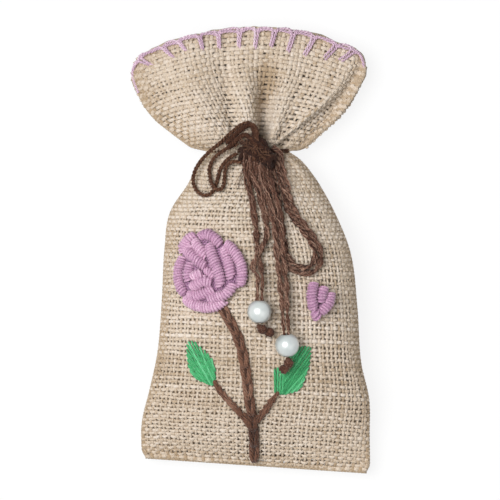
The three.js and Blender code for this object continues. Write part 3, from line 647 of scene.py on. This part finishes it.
def blanket(face, node):
    made = Builder()
    turn = linspace(-1.53, 1.5, 260)
    pulled = sum(bell(turn - at, 0.035) for at in PRONGS)
    wobble = 0.25 * sin(11 * turn) + 0.2 * sin(29 * turn + 1)
    for k, (drop, lift) in enumerate(((0.1, 0.75), (-0.6, 0.4))):
        up = EDGE_UP - drop - 0.7 * pulled + wobble * (1 - 2 * k) * 0.7
        path = resample(cloth(up, turn, face) + cloth_normal(up, turn, face) * lift, 0.3)
        made.rope(path, EDGE_THREAD, plies=2, pitch=2.3, tone=0.9 * k - 0.6, phase=1.3 * k)
    if face > 0:
        up = linspace(EDGE_UP, EDGE_UP - 10, 40)
        path = cloth(up, 0 * up - 1.5, face) + [-0.3, 0, 0.5]
        made.rope(resample(path, 0.3), 1, plies=2, pitch=2.1, tone=0.2, phase=0.4)
    s = linspace(0, 1, 11)
    spread = 0.34 + 0.16 * (1 - s) + 0.7 * bell(s, 0.16)
    lift = 0.85 - 0.25 * s + 0.2 * sin(pi * s) - 0.9 * s ** 6
    for at, reach in zip(PRONGS, REACHES):
        lean = rng.normal(-0.1 * at - 0.06 * at ** 3, 0.015)
        reach = reach + rng.uniform(-0.3, 0.3)
        for side in (-1, 1):
            up = EDGE_UP + 0.5 - reach * s * (1 + 0.05 * side)
            turn = at + lean * s + side * spread / maximum(40 * cos(at), 8)
            path = cloth(up, turn, face) + cloth_normal(up, turn, face) * lift[:, None]
            line = spline(path, 0.3)
            thick = linspace(PRONG_TOP, PRONG_TIP, len(line))
            # The right strand of each prong is darker: painted shade.
            tone = rng.normal(0.4, 0.5) - 1.1 * (side > 0)
            made.rope(line, thick, plies=2, pitch=2.4, tone=tone, phase=rng.uniform(0, 6))
    made.piece(node + "_thread", EDGING, "lavender_thread", [node])


blanket(1, "mouth_stitch_front")
blanket(-1, "mouth_stitch_back")

# Rose and bud: bullion stitches, by centre lines in units from the middle of each flower.
ROSE = [
    [[-1.64, -0.71], [-1.11, -0.48], [-0.57, -0.3]],
    [[-1.76, -2.02], [-1.05, -1.61], [-0.21, -1.25], [0.5, -1.49]],
    [[-2.54, 2.5], [-1.76, 1.85], [-0.93, 1.13], [-0.15, 0.48]],
    [[0.2, 3.15], [0.44, 2.32], [0.86, 1.13], [1.33, -0.18], [1.54, -1.13], [1.49, -1.85]],
    [[-1.52, 3.51], [-1.11, 2.92], [-0.63, 2.32], [-0.21, 1.73]],
    [[-0.87, 4.11], [-0.1, 4.4], [0.86, 3.87], [1.45, 3.1]],
    [[2.23, 1.49], [2.46, 0.65], [2.64, -0.18], [2.73, -0.83]],
    [[2.1, 3.3], [3, 2.44], [3.6, 1.43], [3.99, 0.3], [4.01, -0.77], [3.83, -1.85]],
    [[2.95, -1.6], [2.52, -2.44], [1.75, -2.98], [0.86, -3.21], [0, -3.42]],
    [[-2.2, -2.9], [-1.35, -3.04], [-0.63, -2.83], [0.02, -2.5], [0.7, -2.2]],
    [[-2, 0.9], [-2.25, -0.06], [-2.25, -1.2]],
    [[-2.95, 1.7], [-3.33, 0.42], [-3.39, -0.77], [-3.21, -1.85], [-2.7, -2.9]],
    [[-2.7, -3.45], [-1.88, -3.99], [-0.93, -4.29], [0.14, -4.4], [1.15, -4.15], [1.9, -3.6]],
    [[-2.9, 2.2], [-2.8, 2.98], [-2.36, 3.69], [-1.5, 4.4]],
]
ROSE_HEART = [
    [[-0.35, 0.02], [0.35, -0.2], [0.75, -0.85]],
    [[1.7, 2.75], [2, 2.1], [2.15, 1.45]],
    [[-2, 3.2], [-2.3, 2.9], [-2.2, 2.5]],
]
BUD = [
    [[-1.07, 2.3], [-1.39, 1.17], [-1.42, -0.13], [-1.1, -1.5]],
    [[0.38, 1.61], [-0.01, 0.59], [-0.12, -0.6]],
    [[1.39, 0.75], [1.14, -0.28], [0.67, -1.19], [-0.1, -2.1]],
    [[-1.1, -1.9], [-0.84, -2.3], [-0.45, -2.7]],
]
# Lifts of the stitches, so that some lie over their neighbours.
ROSE_RISE = [0.5, 0.8, 0.7, 0.9, 0.3, 0.2, 0.1, 0.3, 0.35, 0.25, 0.1, 0, -0.1, -0.1]
BUD_RISE = [0.2, 0.1, 0.15, 0]


def flower(name, digits, lines, rises, hearts, centre, size, thick, shade):
    """Bullion stitches over a laid ground, with short ones (hearts) in the gaps."""
    for k, (line, rise) in enumerate(zip(lines, rises)):
        path = flat_path(centre + size * np.array(line), 0.7)
        s = linspace(-1, 1, len(path))
        points, normal = on_cloth(path, thick * 0.4 + rise + 0.45 * (1 - s ** 2))
        made = Builder()
        made.coil(points, thick / 2, rng.normal(shade, 0.35), normal[0])
        if k == 0:
            for heart in hearts:
                path = flat_path(centre + size * np.array(heart), 0.7)
                points, normal = on_cloth(path, thick * 0.42)
                made.coil(points, thick * 0.44, -0.4, normal[0])
            # The ground's darker colour is painted shade between the stitches.
            pad(lines, centre, size).piece(f"{name}_stitch_ground", SHADED_GROUND, "lavender_thread")
        node = f"{name}_stitch_{k + 1:0{digits}d}"
        made.piece(node + "_wound", LAVENDER, "lavender_thread", [node])


def pad(lines, centre, size):
    """Thread laid in a spiral under the flower's stitches."""
    points = np.vstack(lines)
    angle = linspace(0, TURN, 48, endpoint=False)
    ways = np.c_[cos(angle), sin(angle)]
    reach = np.array([np.sort(points @ way)[-2:].mean() for way in ways]) * 0.95
    reach = (reach + np.roll(reach, 1) + np.roll(reach, -1)) / 3
    turns = int(size * reach.mean() / 0.8)
    share = np.sqrt(linspace(0.002, 1, 90 * turns))
    a = TURN * turns * share
    far = np.interp(a % TURN, np.append(angle, TURN), np.append(reach, reach[0]))
    xy = centre + (size * share * far)[:, None] * np.c_[cos(a), sin(a)]
    path, _ = on_cloth(xy, 1.5 - 0.6 * share ** 2)
    made = Builder()
    made.rope(resample(path, 0.4), 1.2, plies=2, pitch=2.2)
    return made


# Digits in the nodes' names, stitches, middle, unit, thickness of a stitch, and tone.
flower("rose", 2, ROSE, ROSE_RISE, ROSE_HEART, (-13.3, -7), 2.72, 3.95, -0.45)
flower("bud", 1, BUD, BUD_RISE, (), (22.8, -16.2), 2.2, 3.9, -1.1)

# Leaves: stitches side by side, along lines from a focus, within an outline.
LEAVES = {
    # focus, number of stitches, outline
    "leaf_left": [(
        (-7.4, -54.4), 13,
        [(-19.6, -30.2), (-20.7, -30.8), (-20.9, -34), (-20.5, -37.5), (-19.5, -40.5),
         (-17.7, -42.6), (-15, -44), (-12.6, -44.9), (-11.6, -43.8), (-11.5, -40.6),
         (-12, -37.5), (-13.7, -34.6), (-16.2, -32.4), (-18.4, -30.4)],
    )],
    "leaf_right": [(
        (9.4, -85), 4,
        [(8, -39.5), (7.9, -43), (8.3, -47.2), (9.4, -47.7), (10.9, -47.6), (11, -44),
         (11.4, -39.4), (10.2, -38.7)],
    ), (
        (-7.5, -70), 13,
        [(20.2, -32.2), (19.9, -36.8), (19.1, -39.8), (17.9, -43.2), (16.3, -46), (13.4, -47.4),
         (9.9, -47.7), (10.3, -44), (10.9, -39.3), (13.9, -34), (16.6, -32)],
    )],
}
LEAF_THREAD, LEAF_TIP = 0.9, 0.65


def satin(made, focus, count, outline):
    """Stitches between the places where lines from the focus meet the outline."""
    ring = flat_path(outline + outline[:1], 0.1) - focus
    angle, far = np.arctan2(ring[:, 1], ring[:, 0]), np.hypot(ring[:, 0], ring[:, 1])
    low, high = angle.min(), angle.max()
    s = linspace(0, 1, 11)
    arch = 0.85 * sin(pi * clip(s, 0.02, 0.98)) ** 0.35 - 0.2
    for k in range(count):
        at = low + (high - low) * (k + 0.5) / count
        meets = np.nonzero(np.diff(np.sign(angle - at)))[0]
        way = np.array([cos(at), sin(at)])
        near, end = far[meets].min() - 0.1, far[meets].max() + 0.1
        xy = focus + way * (end + (near - end) * s[:, None])
        points, normal = on_cloth(xy, arch + 0.15 * sin(2.4 * k))
        line = spline(points, 0.4)
        thick = np.interp(linspace(0, 1, len(line)), (0, 0.12, 0.88, 1),
                          (LEAF_TIP, LEAF_THREAD, LEAF_THREAD, LEAF_TIP))
        made.rope(line, thick, pitch=9, tone=rng.normal(0, 1), phase=rng.uniform(0, 6),
                  flat=0.85, normal=normal[0])


for leaf, fills in LEAVES.items():
    made = Builder()
    for fill in fills:
        satin(made, *fill)
    made.piece(leaf + "_stitches", GREEN, "green_thread", [leaf])

# Stem in chain stitch, and branches in stem stitch.
STEM = [(-9.3, -18.6), (-7.6, -22), (-5.3, -25.6), (-3.6, -29.4), (-2.2, -35), (-1.2, -41),
        (-0.7, -46), (0.2, -52), (1, -57), (1.3, -62), (1.5, -67.5), (1.52, -69)]
BRANCHES = {
    "branch_left": [
        (-12.1, -43.6), (-10.6, -45.6), (-7.6, -49.2), (-4.4, -52.6), (-1.4, -55.8), (0.3, -58.2)],
    "branch_right": [(8.8, -46.8), (7.4, -49.2), (5.2, -52.6), (3.2, -55.2), (1.6, -57.8)],
}
STITCH = 1.6  # thread of the stem and branches
LINK, LINK_WIDTH, LINK_LIFT = 5, 3.7, 0.7
SLANT, SLANT_LIFT = 5.2, 0.6


def heading(a, b):
    """The direction from a to b, and the one square to it."""
    along = (b - a) / np.linalg.norm(b - a)
    return along, np.array([-along[1], along[0]])


def chain(places):
    """Chain stitch, upwards: each link starts narrow in the round end of the last."""
    made = Builder()
    path = flat_path(places[::-1], 0.1)
    count = int(round(0.1 * len(path) / LINK))
    ends = linspace(0, len(path) - 1, count + 1).astype(int)
    rise = sin(pi / 2 * linspace(0, 1, 16))
    s = np.append(rise, rise[-2::-1])
    hand = np.append(-np.ones(16), np.ones(15))
    opened = sin(pi / 2 * np.minimum(1, s / 0.6))
    opened = opened * np.sqrt(1 - clip((s - 0.72) / 0.28, 0, 1) ** 2)
    bulge = hand * ((LINK_WIDTH - STITCH) / 2 * opened + 0.12 * STITCH * (1 - opened))
    lift = LINK_LIFT + 0.8 * STITCH * bell(s - 0.22, 0.2) - 0.25 * s
    for k in range(count):
        a, b = path[ends[k]], path[ends[k + 1]]
        along, side = heading(a, b)
        xy = a + along * LINK * (1.32 * s - 0.14)[:, None] + side * bulge[:, None]
        points, normal = on_cloth(xy, lift)
        line = spline(points, 0.3)
        far = np.abs(linspace(-1, 1, len(line)))
        # Painted light and shade: each link lighter along the middle of its arms and darker at its
        # round end and narrow start, where links overlap. Links are also darker towards the bottom.
        tone = rng.normal(1.1, 0.5) + 1.4 * sin(pi * far) - 1 - 2.2 * (1 - k / count)
        made.rope(line, STITCH, plies=6, pitch=8, sides=5, tone=tone, phase=rng.uniform(0, 6),
                  normal=normal[0], loose=0.15)
    # A dark cord under the links: painted shade in the gaps between them.
    laid, _ = on_cloth(path[::4], np.full(len(path[::4]), LINK_LIFT - 0.1))
    made.rope(laid, STITCH * 0.9, pitch=3.4, tone=-4)
    return made


def stem_stitch(places):
    """Slanted stitches that each start beside the middle of the last one."""
    made = Builder()
    path = flat_path(places, 0.1)
    count = int(round(0.2 * len(path) / SLANT))
    ends = linspace(0, len(path) - 1, count + 2).astype(int)
    s = linspace(0, 1, 13)
    lift = SLANT_LIFT + 0.5 * sin(pi * s) - 0.3 * np.abs(1 - 2 * s) ** 4
    for k in range(count):
        a, b = path[ends[k]], path[ends[k + 2]]
        _, side = heading(a, b)
        xy = a + (b - a) * s[:, None] + side * (0.36 * STITCH * (1 - 2 * s))[:, None]
        points, normal = on_cloth(xy, lift)
        made.rope(spline(points, 0.3), STITCH * (0.9 + 0.25 * k / count), plies=6, pitch=7, sides=5,
                  tone=rng.normal(0, 0.6), phase=rng.uniform(0, 6), normal=normal[0], loose=0.15)
    return made


chain(STEM).piece("stem_chain", BROWN, "brown_thread", ["stem"])
for branch, places in BRANCHES.items():
    stem_stitch(places).piece(branch + "_chain", BROWN, "brown_thread", [branch])

# Tie, knot, loops and tails: twisted cord.
THIN, SOFT, BORED = 1.55, 2.1, 1.36  # loops on the left, soft cord, and a strand in a pearl
KNOT = np.array([1.8, 33, 21.29])
KNOT_HALF = 4.5
NECK_X, NECK_Z, NECK_HALF, NECK_DEPTH, TIE_CORD = -0.5, 10.54, 13.25, 5, 0.78
KNOT_TURNS = (  # across, tilt, size
    (-4, 0.3, 0.82), (-2.4, 0.2, 0.97), (-0.7, -0.15, 1.06), (1.1, 0.1, 1.08),
    (2.8, -0.2, 1), (4.2, -0.35, 0.84),
)
CROSSINGS = (  # three over the knot, and three that rise to the left loops
    [(-4.8, 2.8, 0.6), (-1.6, 1.4, 3.7), (1.8, -1, 3.8), (4.4, -3.2, 1.6)],
    [(-5, 0.6, 0.2), (-2, -0.6, 3.5), (1.2, -2.4, 3.4), (3.2, -4.4, 1.2)],
    [(-2.4, 4.6, 0.6), (0.2, 2.8, 3.4), (2.8, 0.6, 3.7), (5.4, -1.2, 0.8)],
    [(-1.2, 8.8, -0.9), (0.1, 7.2, 0.2), (0.4, 4.6, 2.2), (0.2, 1, 3.9), (-0.6, -3.4, 3)],
    [(-9.6, 2.6, -0.6), (-6.6, 5.4, -0.3), (-3.4, 8, -0.7), (-1.6, 8.6, -0.8),
     (-0.4, 6.2, 0.6), (-0.8, 2.6, 2.8)],
    [(-9, 1, -0.9), (-6.2, 3.6, 0.2), (-3.6, 5.2, 0.8), (-1.8, 4.2, 2), (0.4, 1.2, 3.9)],
)
BROW = [(-4.2, 2.6, 3.2), (0.2, 0.4, 4.7), (4.6, -3.2, 4)]


def fuzz(made, path, count, reach, core=0.5, thick=0.035, lie=1):
    """Loose fibres that stand off a cord, or lie along it where lie is small."""
    t, n, b = frames(path)
    k = rng.integers(1, len(path) - 1, count)
    out = around(rng.uniform(0, TURN, count), b[k], n[k])
    lean = rng.normal(0, 2.2, (count, 1)) * t[k]
    s = linspace(0, 1, 4)[None, :, None]
    bend = rng.normal(0, 0.35, (count, 1, 3))
    size = rng.uniform(0.4, 1, (count, 1, 1)) * reach
    hair = size * (s * unit(out + lean)[:, None] + s * s * bend) * [1, 1, lie]
    p = path[k][:, None] + out[:, None] * core + hair
    p[..., 2] = maximum(p[..., 2], 0.3)
    tone = rng.normal(1.5, 1.2, (count, 1))
    made.tubes(p, b[k][:, None], thick, thick, 3, tone)


def tie():
    """Two turns of cord round the neck, from end to end of the knot."""
    start, end = (arcsin((KNOT[0] + way * KNOT_HALF - NECK_X) / NECK_HALF) for way in (-1, 1))
    made = Builder()
    for shift, lift in ((-0.3, 0), (0.34, 0.1)):
        angle = start - linspace(0, 1, 90) * (TURN - (end - start))
        rise = cos(angle)
        x = NECK_X + NECK_HALF * sin(angle)
        sunk = np.where(rise > 0, 1.1 * clip((-2.5 - x) / 2, 0, 1), 0)
        z = NECK_Z + np.sign(rise) * (NECK_DEPTH + lift - sunk) * np.abs(rise) ** FULLNESS
        path = np.c_[x, KNOT[1] + shift + 0 * z, z]
        made.rope(resample(path, 0.3), TIE_CORD, pitch=2.4, phase=shift)
    made.piece("neck_tie_twist", CORD, "brown_cord", ["neck_tie"])


def lump(made, centre, axis, size, thread, tone):
    """A small knot: turns of cord that cross each other."""
    axis = unit(axis)
    right = unit(np.cross(axis, (0.2, 0.1, 1)))
    top = np.cross(right, axis)
    a = linspace(0, TURN, 40)
    for tilt, shift in ((0.55, -0.6), (-0.6, 0.05), (0.35, 0.65)):
        ring = around(a, right, top) + (shift + tilt * cos(a + shift))[:, None] * axis
        path = resample(centre + size * ring, 0.25)
        made.rope(path, thread, pitch=2.6, tone=rng.normal(tone, 0.4), phase=shift)


def knot():
    """Turns of cord round a core, crossed by strands, with loose fibres."""
    made = Builder()
    a = linspace(0, TURN, 60)
    for k, (at, tilt, size) in enumerate(KNOT_TURNS):
        ring = [at + tilt * 3.6 * cos(a), size * 3.6 * cos(a), size * 2.9 * sin(a)]
        path = resample(KNOT + np.column_stack(ring), 0.35)
        made.rope(path, 1.75, tone=rng.normal(-1.4, 0.5), phase=k)
        fuzz(made, path, 16, 1.4, 0.7)
    for k, places in enumerate(CROSSINGS):
        path = spline(KNOT + places, 0.35)
        made.rope(path, 1.9, tone=rng.normal(-1.6 if k < 3 else -0.4, 0.4), phase=1)
        fuzz(made, path, 16, 1.4, 0.7)
    lump(made, KNOT + [4.4, -3, 2.4], np.array([1, -0.7, 0.2]), 1.7, 1.9, -2)
    fuzz(made, spline(KNOT + BROW, 0.35), 130, 3.2, 0.4, 0.06, 0.2)
    a = linspace(0.12, pi - 0.12, 14)[:, None]
    b = linspace(0, TURN, 24, endpoint=False)[None]
    ball = [4.6 * cos(a) + 0 * b, 3.2 * sin(a) * cos(b), 2.5 * sin(a) * sin(b)]
    made.sheet(KNOT + np.stack(ball, -1), -1, closed_v=True)
    q = linspace(0, 1, 7)
    for _ in range(70):
        x, spread, reach = rng.uniform(-3.6, 4.6), rng.normal(-0.15, 0.3), rng.uniform(5, 11)
        sway = 0.5 * sin(4 * q + rng.uniform(0, 6))
        x = KNOT[0] + x + spread * reach * q + sway * q
        laid = over(np.c_[x, 30.6 - reach * q, 3.2 - 2.6 * q ** 0.6])[None]
        made.tubes(laid, np.array([0, 0, 1]), 0.06, 0.06, 4, rng.normal(1, 1.2))
    made.piece("bow_knot_turns", CORD, "brown_cord", ["bow_knot"])


# Places of the loops and tails: x, y and height over the smooth front.
LOOPS = {
    "left_loop_outer": [
        [1.2, 38, 3.4], [1.1, 40.4, 3.4], [0, 42.2, 3.1], [-2.6, 41.8, 2.9], [-5.6, 39.6, 2.9],
        [-9.7, 35.8, 3.4], [-14, 32.2, 4.6], [-17.4, 28.1, 3.1], [-18.8, 24.7, 2.2],
        [-18.7, 21.6, 1.8], [-17.4, 19.3, 1.8], [-15.5, 18.2, 1.6], [-13.6, 18.4, 1.4],
        [-12.1, 20, 1.3], [-11, 23, 1.2], [-10.1, 26.4, 1.4], [-8.2, 29.4, 1.6], [-5.8, 31.3, 2],
        [-4.2, 32, 2.6],
    ],
    "left_loop_inner": [
        [-4.1, 35.2, 4], [-6.4, 34.4, 4], [-9.3, 32.7, 3.7], [-12.2, 30.2, 2.8], [-13.5, 27.2, 1.9],
        [-13.4, 24.4, 1.6], [-12.8, 22, 2.7], [-11.6, 20.3, 3.2], [-10.2, 20, 3], [-8.9, 21.3, 1.9],
        [-8.5, 24.2, 1.9], [-8.1, 27.2, 2.6], [-6.6, 29, 3.2], [-4.6, 29.4, 3.8], [-3, 29, 3.8],
    ],
    "right_loop_outer": [
        [7.6, 34.2, 4.4], [9.4, 32.4, 3.6], [10.6, 28, 1.8], [11.9, 22, 1.1], [14.4, 13.8, 1.1],
        [18, 8.4, 1.1], [21.4, 4, 1.1], [23.3, 0, 1.1], [23.2, -4, 1.1], [21.2, -7, 1.1],
        [18, -7.8, 1], [14.4, -6.6, 1], [11.4, -3.6, 1], [9.8, 1.4, 1], [8.9, 8, 1], [8, 14.6, 1],
        [7, 21, 1], [5.9, 25.6, 1], [5.2, 28.3, 1.1],
    ],
    "right_loop_inner": [
        [7.7, 31.7, 3.6], [8.7, 29.6, 2.6], [9.5, 26, 1.3], [10.8, 20.6, 1.1], [12.9, 13.2, 1.1],
        [16.8, 7.2, 1.1], [19.9, 3.2, 1.1], [21.5, -0.2, 1.1], [21.3, -3.4, 1.1], [20, -5.2, 1.1],
        [17.9, -5.9, 1], [15.2, -5, 1], [12.8, -2.6, 1], [11.5, 1.8, 1], [10.6, 8, 1],
        [9.7, 14.4, 1], [8.6, 20.6, 1], [7.6, 25.4, 1], [6.9, 28.4, 1.1],
    ],
}
TAILS = {
    "left_tail_a": [
        [-1.3, 28.2, 3.9], [-0.9, 24.6, 1.8], [-0.1, 20, 1.1], [1, 14, 1.1], [1.9, 7.6, 1.1],
        [2.3, 2.4, 1.2], [2.8, -2.4, 1.9],
    ],
    "left_tail_b": [
        [0.8, 28.2, 3.9], [1.6, 24.6, 1.8], [2.8, 20, 1.1], [4.5, 13.4, 1.1], [5.5, 7.3, 1.1],
        [5.2, 3.6, 1.9], [3.7, 0.6, 3.2], [2, -2.6, 3.1], [1, -6, 2.5],
    ],
    "right_tail_a": [
        [2.9, 28.2, 3.9], [3.9, 24.4, 2.9], [5.2, 20, 2.7], [6.9, 13.4, 2.7], [8, 7, 2.7],
        [8.6, 1.4, 2.7], [9.2, -4.6, 2.5], [9.9, -10.4, 2.8],
    ],
    "right_tail_b": [
        [5, 28.2, 3.9], [6.2, 24.4, 2.9], [7.6, 20, 2.7], [9.3, 13.4, 2.7], [10.3, 7, 2.7],
        [10.8, 1.4, 2.7], [11.2, -4.6, 2.5], [11.8, -10.4, 2.8],
    ],
}
PEARLS = {  # middle, and direction of the bore
    "left": ((3.1, -20.4, 35.077), (0.019995, 0.999738, 0.01117)),
    "right": ((12.3, -31.5, 33.17), (-0.069219, 0.98884, 0.131926)),
}
PEARL_RADIUS, BORE_RADIUS = 4, 1.675
BORE_OFFSET = np.array([0.88, 0, 0.47]) * 0.86  # of the second strand from the bore's middle
BORE_REACH = (11.5, 9.5, 6, 0, -3, -3.7)  # straight part of a strand, from the pearl's middle
END_KNOTS = {  # x and y from the pearl's end, and height over the smooth front
    "left": [[1.3, -2.1, 3.4], [3, -2.7, 2.4], [4.7, -3.1, 2.1]],
    "right": [[0.1, -2.2, 3.6], [-0.8, -3.7, 3.4], [-2.4, -4.7, 3.3]],
}
FUZZY = {"left": 0.72, "right": 0.76}  # share of a tail with loose fibres, clear of its pearl


def declare(path):
    path = resample(path, 1)


def loops():
    for k, (name, places) in enumerate(LOOPS.items()):
        path = spline(over(places), 0.3)
        made = Builder()
        soft = name.startswith("right")
        if soft:
            made.yarn(path, SOFT, pitch=10, stray=4)
            fuzz(made, path, 350, 1.15, 0.8)
        else:
            made.rope(path, THIN, plies=2, pitch=2.6, sides=7, tone=0.3, phase=k)
            fuzz(made, path, 90, 0.8, 0.6)
        stuff = SOFT_CORD if soft else CORD
        piece = made.piece(name + "_twist", stuff, "brown_cord", [name])
        declare(path)


def pearl(side, centre, axis):
    """A round bead with a bore along the cord."""
    right = unit(np.cross(axis, (0, 0, 1)))
    top = np.cross(right, axis)
    low = arcsin(BORE_RADIUS / PEARL_RADIUS)
    polar = linspace(low, pi - low, 44)
    r, h = PEARL_RADIUS * sin(polar), PEARL_RADIUS * cos(polar)
    inner = linspace(h[-1], h[0], 6)[1:-1]
    r, h = np.append(r, 0 * inner + BORE_RADIUS), np.append(h, inner)
    ring = around(linspace(0, TURN, 72, endpoint=False), right, top)
    grid = centre + h[:, None, None] * axis + r[:, None, None] * ring[None]
    made = Builder()
    made.sheet(grid, 0, closed_u=True, closed_v=True)
    return made.piece(f"{side}_pearl_bead", PEARL, "pearl", [f"{side}_pearl"], f"{side}_bead")


def end_knot(side, centre, axis):
    """Two lumps of wound cord below a pearl."""
    end = centre - PEARL_RADIUS * axis
    start = [end - 0.3 * axis, end - 0.9 * axis]
    laid = over([[end[0] + x, end[1] + y, z] for x, y, z in END_KNOTS[side]])
    path = spline(np.vstack([start, laid]), 0.25)
    along = linspace(0, 1, len(path))
    swell = bell(along - 0.36, 0.16) + bell(along - 0.8, 0.15)
    made = Builder()
    made.rope(path, 1.6 + 2 * swell, plies=4, pitch=3.4, sides=7, tone=-1.2, phase=0.6,
              loose=0.12)
    fuzz(made, path[: len(path) // 2] if side == "left" else path, 80, 0.9, 1.4)
    return made.piece(f"{side}_end_knot_turns", SOFT_CORD, "brown_cord",
                      [f"{side}_end_knot"], f"{side}_tail")


def tails():
    """Two strands to each pearl, full at the knot and thin where the pearl slides."""
    for side, (place, axis) in PEARLS.items():
        centre, axis = np.array(place), unit(np.array(axis))
        bead = pearl(side, centre, axis)
        end_piece = end_knot(side, centre, axis)
        for letter in "ab":
            name = f"{side}_tail_{letter}"
            hand = 1 if (letter == "b") == (side == "right") else -1
            straight = [centre + hand * BORE_OFFSET + axis * s for s in BORE_REACH]
            root = over(TAILS[name])
            inward = KNOT[0] - root[0][0]
            inside = root[0] + [(0.25 * inward, 4.4, 0.6), (0.1 * inward, 2, 0.5)]
            path = spline(np.vstack([inside, root, straight]), 0.3)
            length = length_of(path)
            along = linspace(0, length, len(path))
            rest = clip((length - 14 - along) / 5, 0, 1)
            full = 0.8 * clip(1.3 - along / 21, 0, 1)
            made = Builder()
            made.yarn(path, BORED + (SOFT - BORED) * rest + full, pitch=12, stray=9, slack=22)
            fuzz(made, path[: int(len(path) * FUZZY[side])], 400, 1.15, 0.8)
            piece = made.piece(name + "_twist", SOFT_CORD, "brown_cord", [name], None)
            root = root[0] * MM
            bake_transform(piece)
            declare(path)


tie()
knot()
loops()
tails()

# Stage: camera straight above, two lamps, and a white world and floor that keep the shadow.
CAMERA_FAR, CAMERA_LIFT, VIEW_WIDTH, SENSOR = 3, 0.012, 500 / 3 * MM, 36
LAMPS = (("key", (-0.6, 0.12, 1.6), 1.05, 32), ("fill", (0.6, -0.4, 0.9), 0.9, 1.6))
FLOOR_HALF, FLOOR_Z, FLOOR_GLOW, WORLD_LIGHT = 4, -0.0004, 0.86, 0.2
scene = bpy.context.scene
scene.view_settings.view_transform = "Standard"
lens = bpy.data.cameras.new("camera")
lens.sensor_width = SENSOR
lens.lens = SENSOR * CAMERA_FAR / VIEW_WIDTH
scene.camera = link("camera", lens)
scene.camera.location = (0, 0, CAMERA_FAR + CAMERA_LIFT)

scene.world = bpy.data.worlds.new("world")
scene.world.use_nodes = True
tree = scene.world.node_tree
sky = put(tree.nodes["Background"], Color=(1, 1, 1, 1))
rays = tree.nodes.new("ShaderNodeLightPath").outputs
seen = math_node(tree, "MAXIMUM", rays["Is Camera Ray"], rays["Is Transmission Ray"])
seen = math_node(tree, "MAXIMUM", seen, rays["Is Glossy Ray"])
level = math_node(tree, "MULTIPLY_ADD", seen, 1 - WORLD_LIGHT, WORLD_LIGHT)
tree.links.new(level, sky.inputs["Strength"])

for name, place, size, power in LAMPS:
    lamp = bpy.data.lights.new(name, "AREA")
    lamp.size = size
    lamp.energy = power
    obj = link(name, lamp)
    obj.location = place
    obj.rotation_mode = "QUATERNION"
    obj.rotation_quaternion = obj.location.to_track_quat("Z", "Y")

mesh = bpy.data.meshes.new("floor")
ring = [(x * FLOOR_HALF, y * FLOOR_HALF, 0) for x, y in ((-1, -1), (1, -1), (1, 1), (-1, 1))]
mesh.from_pydata(ring, [], [(0, 1, 2, 3)])
floor = link("floor", mesh)
floor.location = (0, 0, FLOOR_Z)
mat, tree, shader = material("floor")
tree.nodes.remove(shader)
matt = put(tree.nodes.new("ShaderNodeBsdfDiffuse"), Color=(0.9, 0.9, 0.9, 1))
glow = put(tree.nodes.new("ShaderNodeEmission"), Color=(1, 1, 1, 1))
rays = tree.nodes.new("ShaderNodeLightPath").outputs
both = tree.nodes.new("ShaderNodeMixShader")
share = math_node(tree, "MULTIPLY", rays["Is Camera Ray"], FLOOR_GLOW)
tree.links.new(share, both.inputs["Fac"])
tree.links.new(matt.outputs[0], both.inputs[1])
tree.links.new(glow.outputs[0], both.inputs[2])
tree.links.new(both.outputs[0], tree.nodes["Material Output"].inputs["Surface"])
mesh.materials.append(mat)
